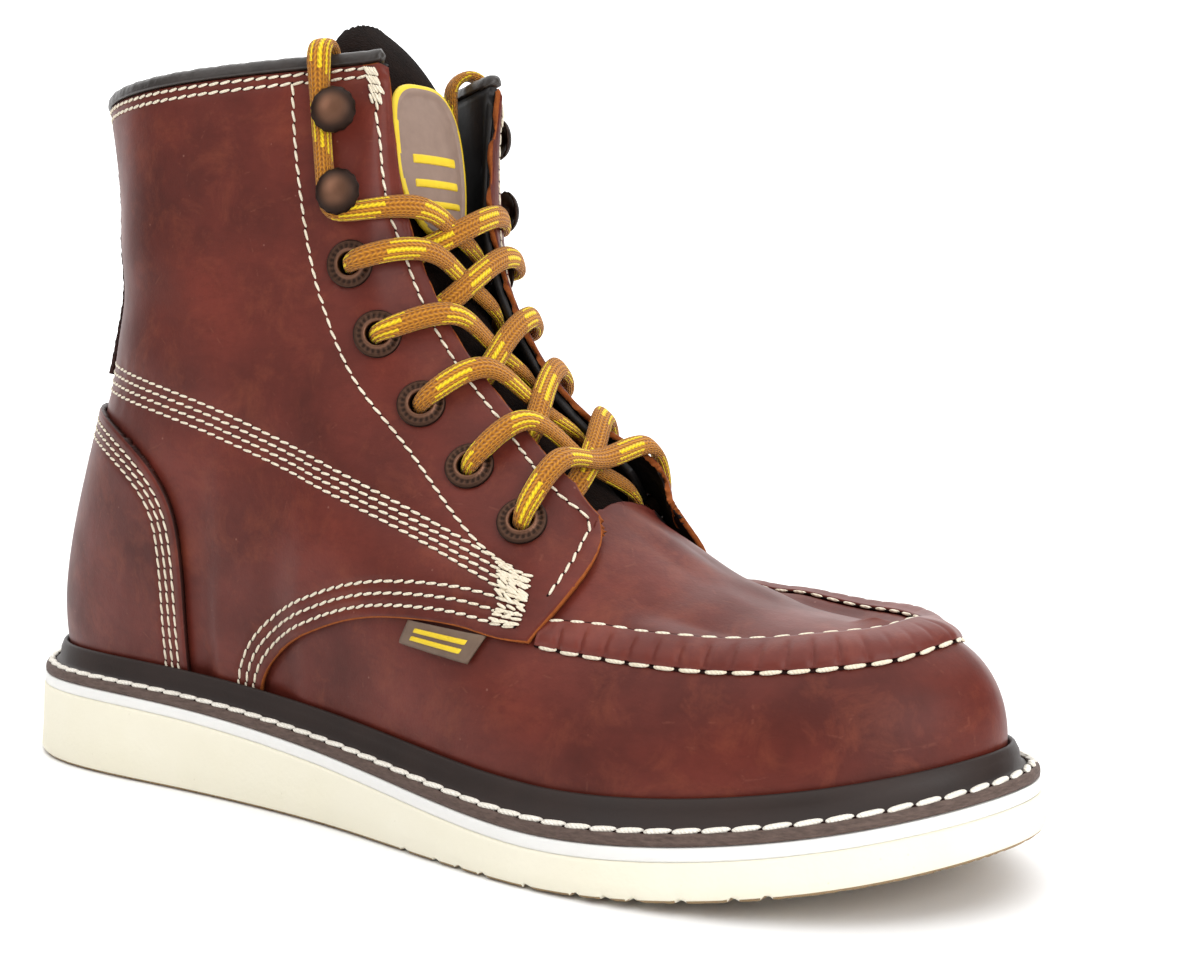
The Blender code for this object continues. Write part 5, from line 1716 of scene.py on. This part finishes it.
def height_point(q, up):
    """Where each curve of the visible form is a given height above the sole's top."""
    steps = np.linspace(0, 0.7, 141)
    net = envelope(np.repeat(q, len(steps)), np.tile(steps, len(q))).reshape(len(q), len(steps), 3)
    rise = net[..., 2] - sole_top(net[..., 0].ravel()).reshape(net.shape[:2])
    return np.array([[np.interp(up, rise[i], net[i, :, k]) for k in (0, 1)] for i in range(len(q))])


welt_q = np.linspace(-LAST_ROW, LAST_ROW, WELT_COLUMNS_ROUND + 1)
welt_side = np.where(welt_q < 0, LATERAL, MEDIAL)


def outline_round(inset):
    """The sole's outline at each station of the welt, moved inward."""
    line = np.zeros((len(welt_q), 2))
    for side in SIDES:
        chosen = welt_side == side
        line[chosen] = outline_at(side, inset, feather_share(side, np.abs(welt_q[chosen])))
    return line


welt_out = unit(outline_round(0.0) - outline_round(FEATHER_INSET))
welt_profile = []
for up, clear in WELT_LIP:
    line = height_point(welt_q, up) + welt_out * clear
    welt_profile.append(np.column_stack([line, sole_top(line[:, 0]) + up]))
for inset, up in WELT_LEDGE:
    line = outline_round(inset)
    welt_profile.append(np.column_stack([line, sole_top(line[:, 0]) + up]))
welt_profile.append(welt_profile[0])
welt_net = np.stack(welt_profile, axis=1)


def welt_shape(a, b):
    column = np.rint(a * WELT_COLUMNS_ROUND).astype(int)
    row = np.rint(b * (len(welt_profile) - 1)).astype(int)
    return welt_net[column, row]


bm = bmesh.new()
moved_grid(bm, WELT_COLUMNS_ROUND, len(welt_profile) - 1, welt_shape)
bm.faces.ensure_lookup_table()
for number, face in enumerate(bm.faces):
    row = number // WELT_COLUMNS_ROUND
    face.material_index = 1 if row >= WELT_EDGE_FROM else 0
bmesh.ops.remove_doubles(bm, verts=bm.verts, dist=WELD)
bmesh.ops.recalc_face_normals(bm, faces=bm.faces)
finish_piece("storm_welt", bm, [welt_rubber(), trimmed_rubber()], ["welt"])

# Welt stitching
# A lockstitch of thick waxed thread that holds welt and midsole, laid in the groove: long slanting
# stitches whose ends tuck under each other.
WELT_PITCH = 6.3
WELT_THREAD_RADIUS = 0.85
WELT_STITCH_INSET = 3.3
WELT_STITCH_UP = 3.05
WELT_STITCH_LONG = 0.485
WELT_SKEW = 0.15
WELT_SKEW_SPREAD = 0.03
WELT_HOLE_HALVES = (0.8, 0.9, 0.3)
WELT_HOLE_DOWN = 0.3
TRACK_STEP = 0.8
line = outline_round(WELT_STITCH_INSET)
welt_track = np.column_stack([line, sole_top(line[:, 0]) + WELT_STITCH_UP])
track_run = lengths(welt_track)
count = int(round(track_run[-1] / WELT_PITCH))
step = track_run[-1] / count


def on_track(t):
    return on_line(t, track_run, welt_track)


def track_way(t):
    return unit(on_track(t + TRACK_STEP) - on_track(t - TRACK_STEP))


at = (np.arange(count) + 0.5) * step
gaps = np.arange(count) * step
way = track_way(at)
upright = np.tile(np.array([0.0, 0.0, 1.0]), (count, 1))
side_way = np.cross(upright, way)
way = unit(way + side_way * (WELT_SKEW + draws.normal(0, WELT_SKEW_SPREAD, count))[:, None])
threads = strew(bead(8, 8), on_track(at), way, upright, step * WELT_STITCH_LONG, WELT_THREAD_RADIUS,
                WELT_THREAD_RADIUS * THREAD_FLAT)
# The needle holes are dark specks of painted shade.
holes = strew(SPECK, on_track(gaps) - upright * WELT_HOLE_DOWN, track_way(gaps), upright, *WELT_HOLE_HALVES)
welt_thread = thread("waxed_welt_thread", "#ded6c6", "#f7f3ea")
joined_piece("welt_stitching", [(*threads, 0), (*holes, 1)], [welt_thread, hole_shade])

# Midsole
# A thin bright white layer of rubber glued between welt and outsole, trimmed flush with the welt.
MIDSOLE_THICK = 2.9
MIDSOLE_ROUND = 0.4
MIDSOLE_GRID = (200, 6)
SOLE_WELD = 0.00003
SOLE_SLIVER = 0.00001


def sole_layer(name, levels, columns, cross, heights, materials, slot, node):
    """A closed layer of the sole: walls through levels of inset and height, and a lid at each end."""
    bm = bmesh.new()
    lines = [{side: outline_side(side, inset) for side in SIDES} for inset, _ in levels]

    def edge_at(level, t, side):
        return on_line(t, SHARE, lines[level][side])

    def walls(a, b):
        row = np.rint(b * (len(levels) - 1)).astype(int)
        points = np.zeros((len(a), 3))
        for level, (inset, height) in enumerate(levels):
            for side, share in ((LATERAL, 2 * a), (MEDIAL, 2 - 2 * a)):
                chosen = (row == level) & ((a <= 0.5) if side == LATERAL else (a > 0.5))
                flat = edge_at(level, share[chosen], side)
                points[chosen] = np.column_stack([flat, heights(flat, height, level)])
        return points

    moved_grid(bm, 2 * columns, len(levels) - 1, walls)
    for level in (0, len(levels) - 1):
        def lid(a, b, level=level):
            outer = edge_at(level, a, LATERAL)
            inner = edge_at(level, a, MEDIAL)
            flat = outer * (1 - b[:, None]) + inner * b[:, None]
            return np.column_stack([flat, heights(flat, levels[level][1], level)])

        moved_grid(bm, columns, cross, lid)
    bmesh.ops.remove_doubles(bm, verts=bm.verts, dist=SOLE_WELD)
    bmesh.ops.dissolve_degenerate(bm, edges=bm.edges, dist=SOLE_SLIVER)
    bmesh.ops.recalc_face_normals(bm, faces=bm.faces)
    return finish_piece(name, bm, materials, [node])


# Sole rubber with faint clouds of tone and fine cells: clean and a little satin where it is white, and
# more open where it is blown.
def sole_rubber(name, low, high, rough, pits):
    made, tree, here = start_material(name, {"Roughness": rough, "Specular IOR Level": 0.35})
    cloud = add(tree, "ShaderNodeTexNoise", {"Scale": 55.0, "Detail": 5.0}, {"Vector": here})
    tone = add(tree, "ShaderNodeMixRGB", {"Color1": colour(low), "Color2": colour(high)},
               {"Fac": cloud.outputs["Fac"]}, "Base Color")
    cells = add(tree, "ShaderNodeTexNoise", {"Scale": 900.0, "Detail": 3.0}, {"Vector": here})
    add(tree, "ShaderNodeBump", {"Strength": pits, "Distance": 0.0004},
        {"Height": cells.outputs["Fac"]}, "Normal")
    return made, tree, here, tone


white_rubber = sole_rubber("white_midsole_rubber", "#e6e5e1", "#eeedea", 0.5, 0.08)[0]
sole_layer("midsole_band", (
    (1.35, lambda x: sole_top(x) - MIDSOLE_THICK),
    (1.25, lambda x: sole_top(x) - MIDSOLE_THICK + MIDSOLE_ROUND),
    (1.3, lambda x: sole_top(x) - MIDSOLE_ROUND),
    (1.6, sole_top),
), *MIDSOLE_GRID, lambda flat, height, level: height(flat[:, 0]), [white_rubber], "white_rubber", "midsole")

# Outsole
# A cream wedge of blown rubber with a flat bottom: its side is buffed, its lower edge is ragged from
# the trim with a thin brown line of tread stock, and shallow grooves cross the forefoot.
GROOVE_X = (174.0, 185.0, 193.0, 200.5, 213.5, 226.5, 233.5, 240.0, 250.0, 260.5, 267.0)
GROOVE_HALF = 1.1
GROOVE_DEEP = 1.5
GROOVE_SHARES = (1.0, 0.9, 0.35)
RAGGED = 0.35
TREAD_LINE = 0.62
OUTSOLE_GRID = (420, 24)
EDGE_LINE = 0.7
GLUE_LINE = 0.1


def outsole_height(flat, height, level):
    x, y = flat.T
    z = height(x)
    if level > 2:
        return z
    for groove in GROOVE_X:
        z = z + GROOVE_DEEP * np.clip(1 - np.abs(x - groove) / GROOVE_HALF, 0, 1) * GROOVE_SHARES[level]
    rough = np.sin(x * 2.1 + 3 * np.sin(y * 0.4)) * np.sin(x * 0.83 + 1.7) + 0.5 * np.sin(x * 4.7 + y)
    return z + RAGGED * 0.5 * np.clip(rough, 0, None) * (level < 2)


# Blown cream rubber: matt, with fine open cells and a few larger pits, whose shade is painted as darker
# spots.
def blown_rubber():
    made, tree, here, tone = sole_rubber("cream_blown_rubber", "#e9e3cc", "#f0ebda", 0.72, 0.2)
    pit = add(tree, "ShaderNodeTexVoronoi", {"Scale": 210.0}, {"Vector": here})
    pit_shade = add(tree, "ShaderNodeMapRange",
               {"From Min": 0.03, "From Max": 0.07, "To Min": 0.3, "To Max": 0.0},
               {"Value": pit.outputs["Distance"]})
    # The pits are painted darker for the shade inside them.
    add(tree, "ShaderNodeMixRGB", {"Color2": colour("#c9bfa2")},
        {"Color1": tone.outputs["Color"], "Fac": pit_shade.outputs["Result"]}, "Base Color")
    return made


tread_stock = sole_rubber("brown_tread_stock", "#7a6347", "#a58d69", 0.85, 0.4)[0]
outsole = sole_layer("outsole_wedge", (
    (1.0, ground),
    (0.65, lambda x: ground(x) + 0.25),
    (0.35, lambda x: ground(x) + EDGE_LINE),
    (0.0, lambda x: ground(x) + 1.6),
    (0.5, lambda x: ground(x) + 0.45 * (sole_top(x) - ground(x) - MIDSOLE_THICK)),
    (0.95, lambda x: sole_top(x) - MIDSOLE_THICK - 1.0),
    (1.2, lambda x: sole_top(x) - MIDSOLE_THICK - GLUE_LINE),
), *OUTSOLE_GRID, outsole_height, [blown_rubber(), tread_stock], "cream_rubber", "outsole")
for polygon in outsole.data.polygons:
    middle = polygon.center
    height = middle.z / MM - float(ground(middle.x / MM + CENTRE[0]))
    if height < TREAD_LINE:
        polygon.material_index = 1

# Lace
# A flat-oval woven lace, golden brown with bright yellow flecks. A bar joins the two lowest eyelets from
# outside; each strand then leaves one flap from below, crosses the throat and goes over the other flap.
LACE_WIDE = 6.0
LACE_THICK = 2.8
LACE_AROUND = 20
LACE_STEP = 1.1
LACE_RIBS = 20.0
YARN_PITCH = 1.3
TRACER_REPEAT = 21.0
TRACER_SHARE = 0.45
LACE_CLEAR = 0.9
LACE_LIFT = LAYER + LACE_CLEAR + LACE_THICK / 2
INSIDE = -WALL - LACE_THICK / 2 - 0.8
EYELET_DEPTH = -WALL - LAYER - 2.0
LADDER = EYELETS + HOOKS[:1]
OWN_RISE = (10.5, 8.0, 6.6, 3.2, 2.5, -3.4)
UNDER_RISE = (5.0, 7.5, 7.0, 7.0, 3.7)
STRAND_COLUMNS = ("inner side's strand", "outer side's strand")
STRAND_HEIGHT = ((4.2, 4.2), (3.1, 0.2), (3.1, 0.2), (3.1, 0.2), (3.6, 0.8), (5.0, 2.2))
LAY_BACK = 5.0
LAY_PROUD = 0.7
LAY_WIDTH = 0.92
EYELET_MOUTH = 0.6
EYELET_WIDTHS = (0.72, 0.75)
LACE_WELD = 0.00001
flap_s = np.linspace(CORNER_ROW, flap_top, LINE_POINTS)
flap_z = envelope(-flap_s, np.ones(LINE_POINTS))[:, 2]


def flap_edge(side, z, lift):
    """A point on the flap's front edge at a height, and its outward way."""
    s = np.interp(-z, -flap_z, flap_s)
    q = np.array([side * s])
    return wall(q, np.ones(1), lift)[0], outward(q, np.ones(1))[0]


def through(side, spot, depth):
    point, out, up = seats[side, spot]
    return point + out * depth, out


def toward(side, spot, target, distance, lift):
    """A point over the quarter, a distance from a fitting toward another point."""
    point, out, up = seats[side, spot]
    way = target - point
    way = unit(way - out * np.dot(way, out))
    return point + way * distance + out * lift, out


def own_edge(side, number):
    """Over the flap's edge, on the way to the fitting on the same side."""
    return (*flap_edge(side, LADDER[number][1] + OWN_RISE[number], LACE_LIFT), 1.0)


def into_eyelet(side, number):
    """Over the flap's edge and down through an eyelet."""
    edge = own_edge(side, number)
    lay = toward(side, LADDER[number], edge[0], LAY_BACK, LACE_CLEAR + LACE_THICK / 2 + LAY_PROUD)
    line = [edge, (*lay, LAY_WIDTH)]
    for depth, width in zip((EYELET_MOUTH, EYELET_DEPTH), EYELET_WIDTHS):
        line.append((*through(side, LADDER[number], depth), width))
    return line


def mid_throat(side, number):
    """Halfway across the throat, on the way over one side's flap; the inner side's strands lie on top."""
    level = LADDER[number][1] + OWN_RISE[number]
    if number:
        level = (level + LADDER[number - 1][1] + UNDER_RISE[number - 1]) / 2
    left, left_out = flap_edge(LATERAL, level, 0.0)
    right, right_out = flap_edge(MEDIAL, level, 0.0)
    out = unit(left_out + right_out)
    return 0.5 * (left + right) + out * STRAND_HEIGHT[number][side == LATERAL], out, 1.0


def hook_side(side, spot, angle, distance, lift):
    """A point beside a hook's post: 0 is toward the throat, 90 below, 180 behind."""
    point, out, up = seats[side, spot]
    ahead = np.cross(out, up) * side
    turn = math.radians(angle)
    return point + (ahead * math.cos(turn) - up * math.sin(turn)) * distance + out * lift, out


HOOK_CLEAR = 4.1
HOOK_LIFT = 0.5 + LACE_THICK / 2
HOOK_WIDTH = 0.8
HOOK_TURN_COLUMNS = ("angle", "distance")
HOOK_TURN = ((55.0, HOOK_CLEAR + 0.9), (115.0, HOOK_CLEAR + 0.3), (180.0, HOOK_CLEAR))


def half_lace(side):
    """One half of the lace, from the bar's end to behind the hook, as control points."""
    line = into_eyelet(side, 0)
    for number in range(1, len(LADDER)):
        under = LADDER[number - 1][1] + UNDER_RISE[number - 1]
        line.append((*flap_edge(side, under, INSIDE), 1.0))
        side = -side
        line.append(mid_throat(side, number))
        line += into_eyelet(side, number) if number < len(EYELETS) else [own_edge(side, number)]
    for angle, distance in HOOK_TURN:
        line.append((*hook_side(side, HOOKS[0], angle, distance, HOOK_LIFT), HOOK_WIDTH))
    return line


def lace_path(controls):
    """A dense smooth path with its flat side's way and its width at each point."""
    points = np.array([row[0] for row in controls])
    outs = np.array([row[1] for row in controls])
    widths = np.array([row[2] for row in controls])
    knots = np.concatenate([[0], np.cumsum(np.linalg.norm(np.diff(points, axis=0), axis=1) ** 0.5)])
    fine = np.linspace(0, knots[-1], 4000)
    dense = spline(knots, points)(fine)
    run = lengths(dense)
    count = int(run[-1] / LACE_STEP)
    at = np.interp(np.linspace(0, run[-1], count + 1), run, fine)
    path = spline(knots, points)(at)
    out = on_line(at, knots, outs)
    width = np.interp(at, knots, widths)
    way = unit(np.gradient(path, axis=0))
    out = unit(out - way * np.sum(out * way, axis=1)[:, None])
    return path, way, out, width


def lace_tube(bm, controls):
    """A flat-oval tube with a map along its length in millimetres and round its girth."""
    path, way, out, width = lace_path(controls)
    across = np.cross(out, way)
    count = len(path) - 1
    along = lengths(path)

    def shape(a, b):
        i = np.rint(a * count).astype(int)
        angle = 2 * math.pi * b
        c = np.cos(angle)
        d = np.sin(angle)
        flat = np.sign(c) * np.abs(c) ** 0.75 * LACE_WIDE / 2 * width[i]
        thick = np.sign(d) * np.abs(d) ** 0.8 * LACE_THICK / 2 * (1.35 - 0.35 * width[i])
        return path[i] + across[i] * flat[:, None] + out[i] * thick[:, None]

    net = bm.loops.layers.uv.active or bm.loops.layers.uv.new("weave")
    before = len(bm.faces)
    moved_grid(bm, count, LACE_AROUND, shape)
    bm.faces.ensure_lookup_table()
    for number in range(before, len(bm.faces)):
        cell = number - before
        column = cell % count
        row = cell // count
        corners = {0: (column, row), 1: (column + 1, row), 2: (column + 1, row + 1), 3: (column, row + 1)}
        for corner, loop in enumerate(bm.faces[number].loops):
            i, j = corners[corner]
            loop[net].uv = (along[i], j / LACE_AROUND)
    return path


# Woven polyester: a herringbone of fine yarns about 0.8 mm wide round a soft core, matt golden brown,
# with yellow tracer yarns that come and go along its length.
def lace_weave():
    made, tree, here = start_material(
        "woven_golden_lace", {"Roughness": 0.75, "Specular IOR Level": 0.25, "Sheen Weight": 0.1})

    def math_node(operation, first, second=0.0, third=0.0):
        settings = {"operation": operation}
        links = {}
        for socket, value in enumerate((first, second, third)):
            if isinstance(value, float):
                settings[socket] = value
            else:
                links[socket] = value
        return add(tree, "ShaderNodeMath", settings, links).outputs["Value"]

    net = add(tree, "ShaderNodeUVMap", {"uv_map": "weave"})
    split = add(tree, "ShaderNodeSeparateXYZ", {}, {"Vector": net.outputs["UV"]})
    along = split.outputs["X"]
    girth = math_node("MULTIPLY", split.outputs["Y"], LACE_RIBS)
    rib = math_node("FLOOR", girth)
    across = math_node("FRACT", girth)
    odd = math_node("PINGPONG", rib, 1.0)
    lean = math_node("MULTIPLY", across, math_node("MULTIPLY_ADD", odd, 2.0, -1.0))
    yarn = math_node("MULTIPLY", math_node("MULTIPLY_ADD", along, 1 / YARN_PITCH, lean), 2 * math.pi)
    knot = math_node("SINE", yarn)
    crown = math_node("COSINE", math_node("MULTIPLY_ADD", across, 2 * math.pi, -math.pi))
    relief = math_node("MULTIPLY_ADD", crown, 0.8, math_node("MULTIPLY", knot, 0.55))
    add(tree, "ShaderNodeBump", {"Strength": 0.8, "Distance": 0.0003}, {"Height": relief}, "Normal")
    # The colour follows the weave's relief: painted shade between the yarns and a painted lighter tone on
    # their crowns.
    shade = add(tree, "ShaderNodeMapRange", {"From Min": -1.2, "From Max": 0.9}, {"Value": relief})
    brown = add(tree, "ShaderNodeMixRGB", {"Color1": colour("#854b0e"), "Color2": colour("#c98522")},
                {"Fac": shade.outputs["Result"]})
    yellow = add(tree, "ShaderNodeMixRGB", {"Color1": colour("#c9980f"), "Color2": colour("#ffdf20")},
                 {"Fac": shade.outputs["Result"]})
    spread = add(tree, "ShaderNodeMapping", {"Scale": (0.03, 0.0, 0.0)}, {"Vector": net.outputs["UV"]})
    drift = add(tree, "ShaderNodeTexNoise", {"Scale": 1.0, "Detail": 1.0},
                {"Vector": spread.outputs["Vector"]})
    band = math_node("MULTIPLY_ADD", along, 1 / TRACER_REPEAT, math_node("MULTIPLY", rib, 0.035))
    band = math_node("FRACT", math_node("ADD", band, math_node("MULTIPLY", drift.outputs["Fac"], 0.8)))
    lit = math_node("MULTIPLY", math_node("LESS_THAN", band, TRACER_SHARE), odd)
    add(tree, "ShaderNodeMixRGB", {},
        {"Color1": brown.outputs["Color"], "Color2": yellow.outputs["Color"], "Fac": lit}, "Base Color")
    return made


lace_yarn = lace_weave()


def close_lace(bm):
    bmesh.ops.remove_doubles(bm, verts=bm.verts, dist=LACE_WELD)
    bmesh.ops.holes_fill(bm, edges=[e for e in bm.edges if e.is_boundary], sides=LACE_AROUND + 2)
    bmesh.ops.recalc_face_normals(bm, faces=bm.faces)


bm = bmesh.new()
halves = {side: half_lace(side) for side in SIDES}
lace_tube(bm, halves[LATERAL][::-1] + [mid_throat(MEDIAL, 0)] + halves[MEDIAL])
close_lace(bm)
finish_piece("lace_through_eyelets", bm, [lace_yarn],
             ["lace_bar"] + ["lace_cross_%d" % number for number in range(1, 6)])

# Lace ends
# Each end runs up behind both hooks, over the binding and a short way down inside the shaft.
LACE_ROLL_COLUMNS = ("out", "up")
LACE_ROLL = ((5.2, 0.6), (4.4, 3.9), (0.0, 6.4), (-4.7, 3.6), (-5.4, -1.5), (-5.2, -14.0))
END_BACK = 4.5
END_LEVEL = 179.0
ROLL_MIDDLE = 1.8
ROLL_FROM = 1.0


def end_controls(side):
    line = [(*hook_side(side, spot, 180.0, HOOK_CLEAR, HOOK_LIFT), HOOK_WIDTH) for spot in HOOKS]
    s = float(locate(HOOKS[1][0] - END_BACK, END_LEVEL)[0][0])
    q = np.array([side * s])
    top = wall(q, np.ones(1), 0.0)[0]
    out = outward(q, np.ones(1))[0]
    up = np.array([0.0, 0.0, 1.0])
    for across, rise in LACE_ROLL:
        turn = 0.0 if across > 0 else math.pi
        if rise > ROLL_FROM:
            turn = math.atan2(rise - ROLL_MIDDLE, across)
        line.append((top + out * across + up * rise, out * math.cos(turn) + up * math.sin(turn), 1.0))
    return line


for side in SIDES:
    bm = bmesh.new()
    path = lace_tube(bm, end_controls(side))
    close_lace(bm)
    node = "lace_end_" + SIDE_NAMES[side]
    made = finish_piece(node + "_woven", bm, [lace_yarn], [node])
    route = place(path)
    float(lengths(route)[-1])

# Studio
# A plain pale floor under soft light from large panels, and the camera at the photograph's angle.
FLOOR_SIZE = 6.0
FLOOR_DROP = 0.0002
SKY_STRENGTH = 0.27
LENS_LENGTH = 50.0
SENSOR_WIDTH = 36.0
NEAR_CLIP = 0.01
CAMERA_AT = (0.27398, -0.33126, 0.11167)
CAMERA_TO = (0.0360, 0.0104, 0.0840)
PANEL_COLUMNS = ("name", "place", "target", "width", "height", "watts")
PANELS = (
    ("overhead", (-0.1, 0.1, 1.6), (-0.1, 0.1, 0.0), 3.0, 3.0, 44.0),
    ("key_left", (-0.55, -1.35, 0.9), (0.0, 0.0, 0.08), 1.1, 1.1, 5.0),
    ("front_fill", (1.25, -0.35, 0.55), (0.1, 0.0, 0.06), 0.9, 0.9, 11.0),
)
BACKDROP_AWAY = 1.7
BACKDROP_SIZE = 5.0


def paper_sheet(name, size, finish, settings):
    """A flat square of paper round the origin."""
    bm = bmesh.new()
    bmesh.ops.create_grid(bm, x_segments=1, y_segments=1, size=size / 2)
    mesh = bpy.data.meshes.new(name)
    bm.to_mesh(mesh)
    bm.free()
    mesh.materials.append(start_material(finish, settings)[0])
    made = bpy.data.objects.new(name, mesh)
    bpy.context.scene.collection.objects.link(made)
    return made


floor = paper_sheet("floor", FLOOR_SIZE, "white_paper_floor",
                    {"Roughness": 0.55, "Specular IOR Level": 0.3, "Base Color": colour("#fbfbfb")})
floor.location = (0.0, 0.0, -FLOOR_DROP)
backdrop = paper_sheet("backdrop", BACKDROP_SIZE, "lit_white_backdrop",
                       {"Base Color": colour("#000000"), "Specular IOR Level": 0.0,
                        "Emission Color": colour("#ffffff"), "Emission Strength": 1.8})
sight = Vector(CAMERA_TO) - Vector(CAMERA_AT)
sight.z = 0.0
sight.normalize()
backdrop.location = sight * BACKDROP_AWAY
backdrop.rotation_euler = sight.to_track_quat("Z", "Y").to_euler()
for name, at, to, width, height, watts in PANELS:
    light = bpy.data.lights.new(name, "AREA")
    light.shape = "RECTANGLE"
    light.size = width
    light.size_y = height
    light.energy = watts
    lamp = bpy.data.objects.new(name, light)
    lamp.location = at
    lamp.rotation_euler = (Vector(to) - Vector(at)).to_track_quat("-Z", "Y").to_euler()
    bpy.context.scene.collection.objects.link(lamp)
world = bpy.data.worlds.new("white_studio")
world.use_nodes = True
world.node_tree.nodes["Background"].inputs["Color"].default_value = colour("#ffffff")
world.node_tree.nodes["Background"].inputs["Strength"].default_value = SKY_STRENGTH
bpy.context.scene.world = world
bpy.context.scene.view_settings.view_transform = "Standard"
lens = bpy.data.cameras.new("camera")
lens.lens = LENS_LENGTH
lens.sensor_width = SENSOR_WIDTH
lens.clip_start = NEAR_CLIP
camera = bpy.data.objects.new("camera", lens)
camera.location = CAMERA_AT
camera.rotation_euler = (Vector(CAMERA_TO) - Vector(CAMERA_AT)).to_track_quat("-Z", "Y").to_euler()
bpy.context.scene.collection.objects.link(camera)
bpy.context.scene.camera = camera
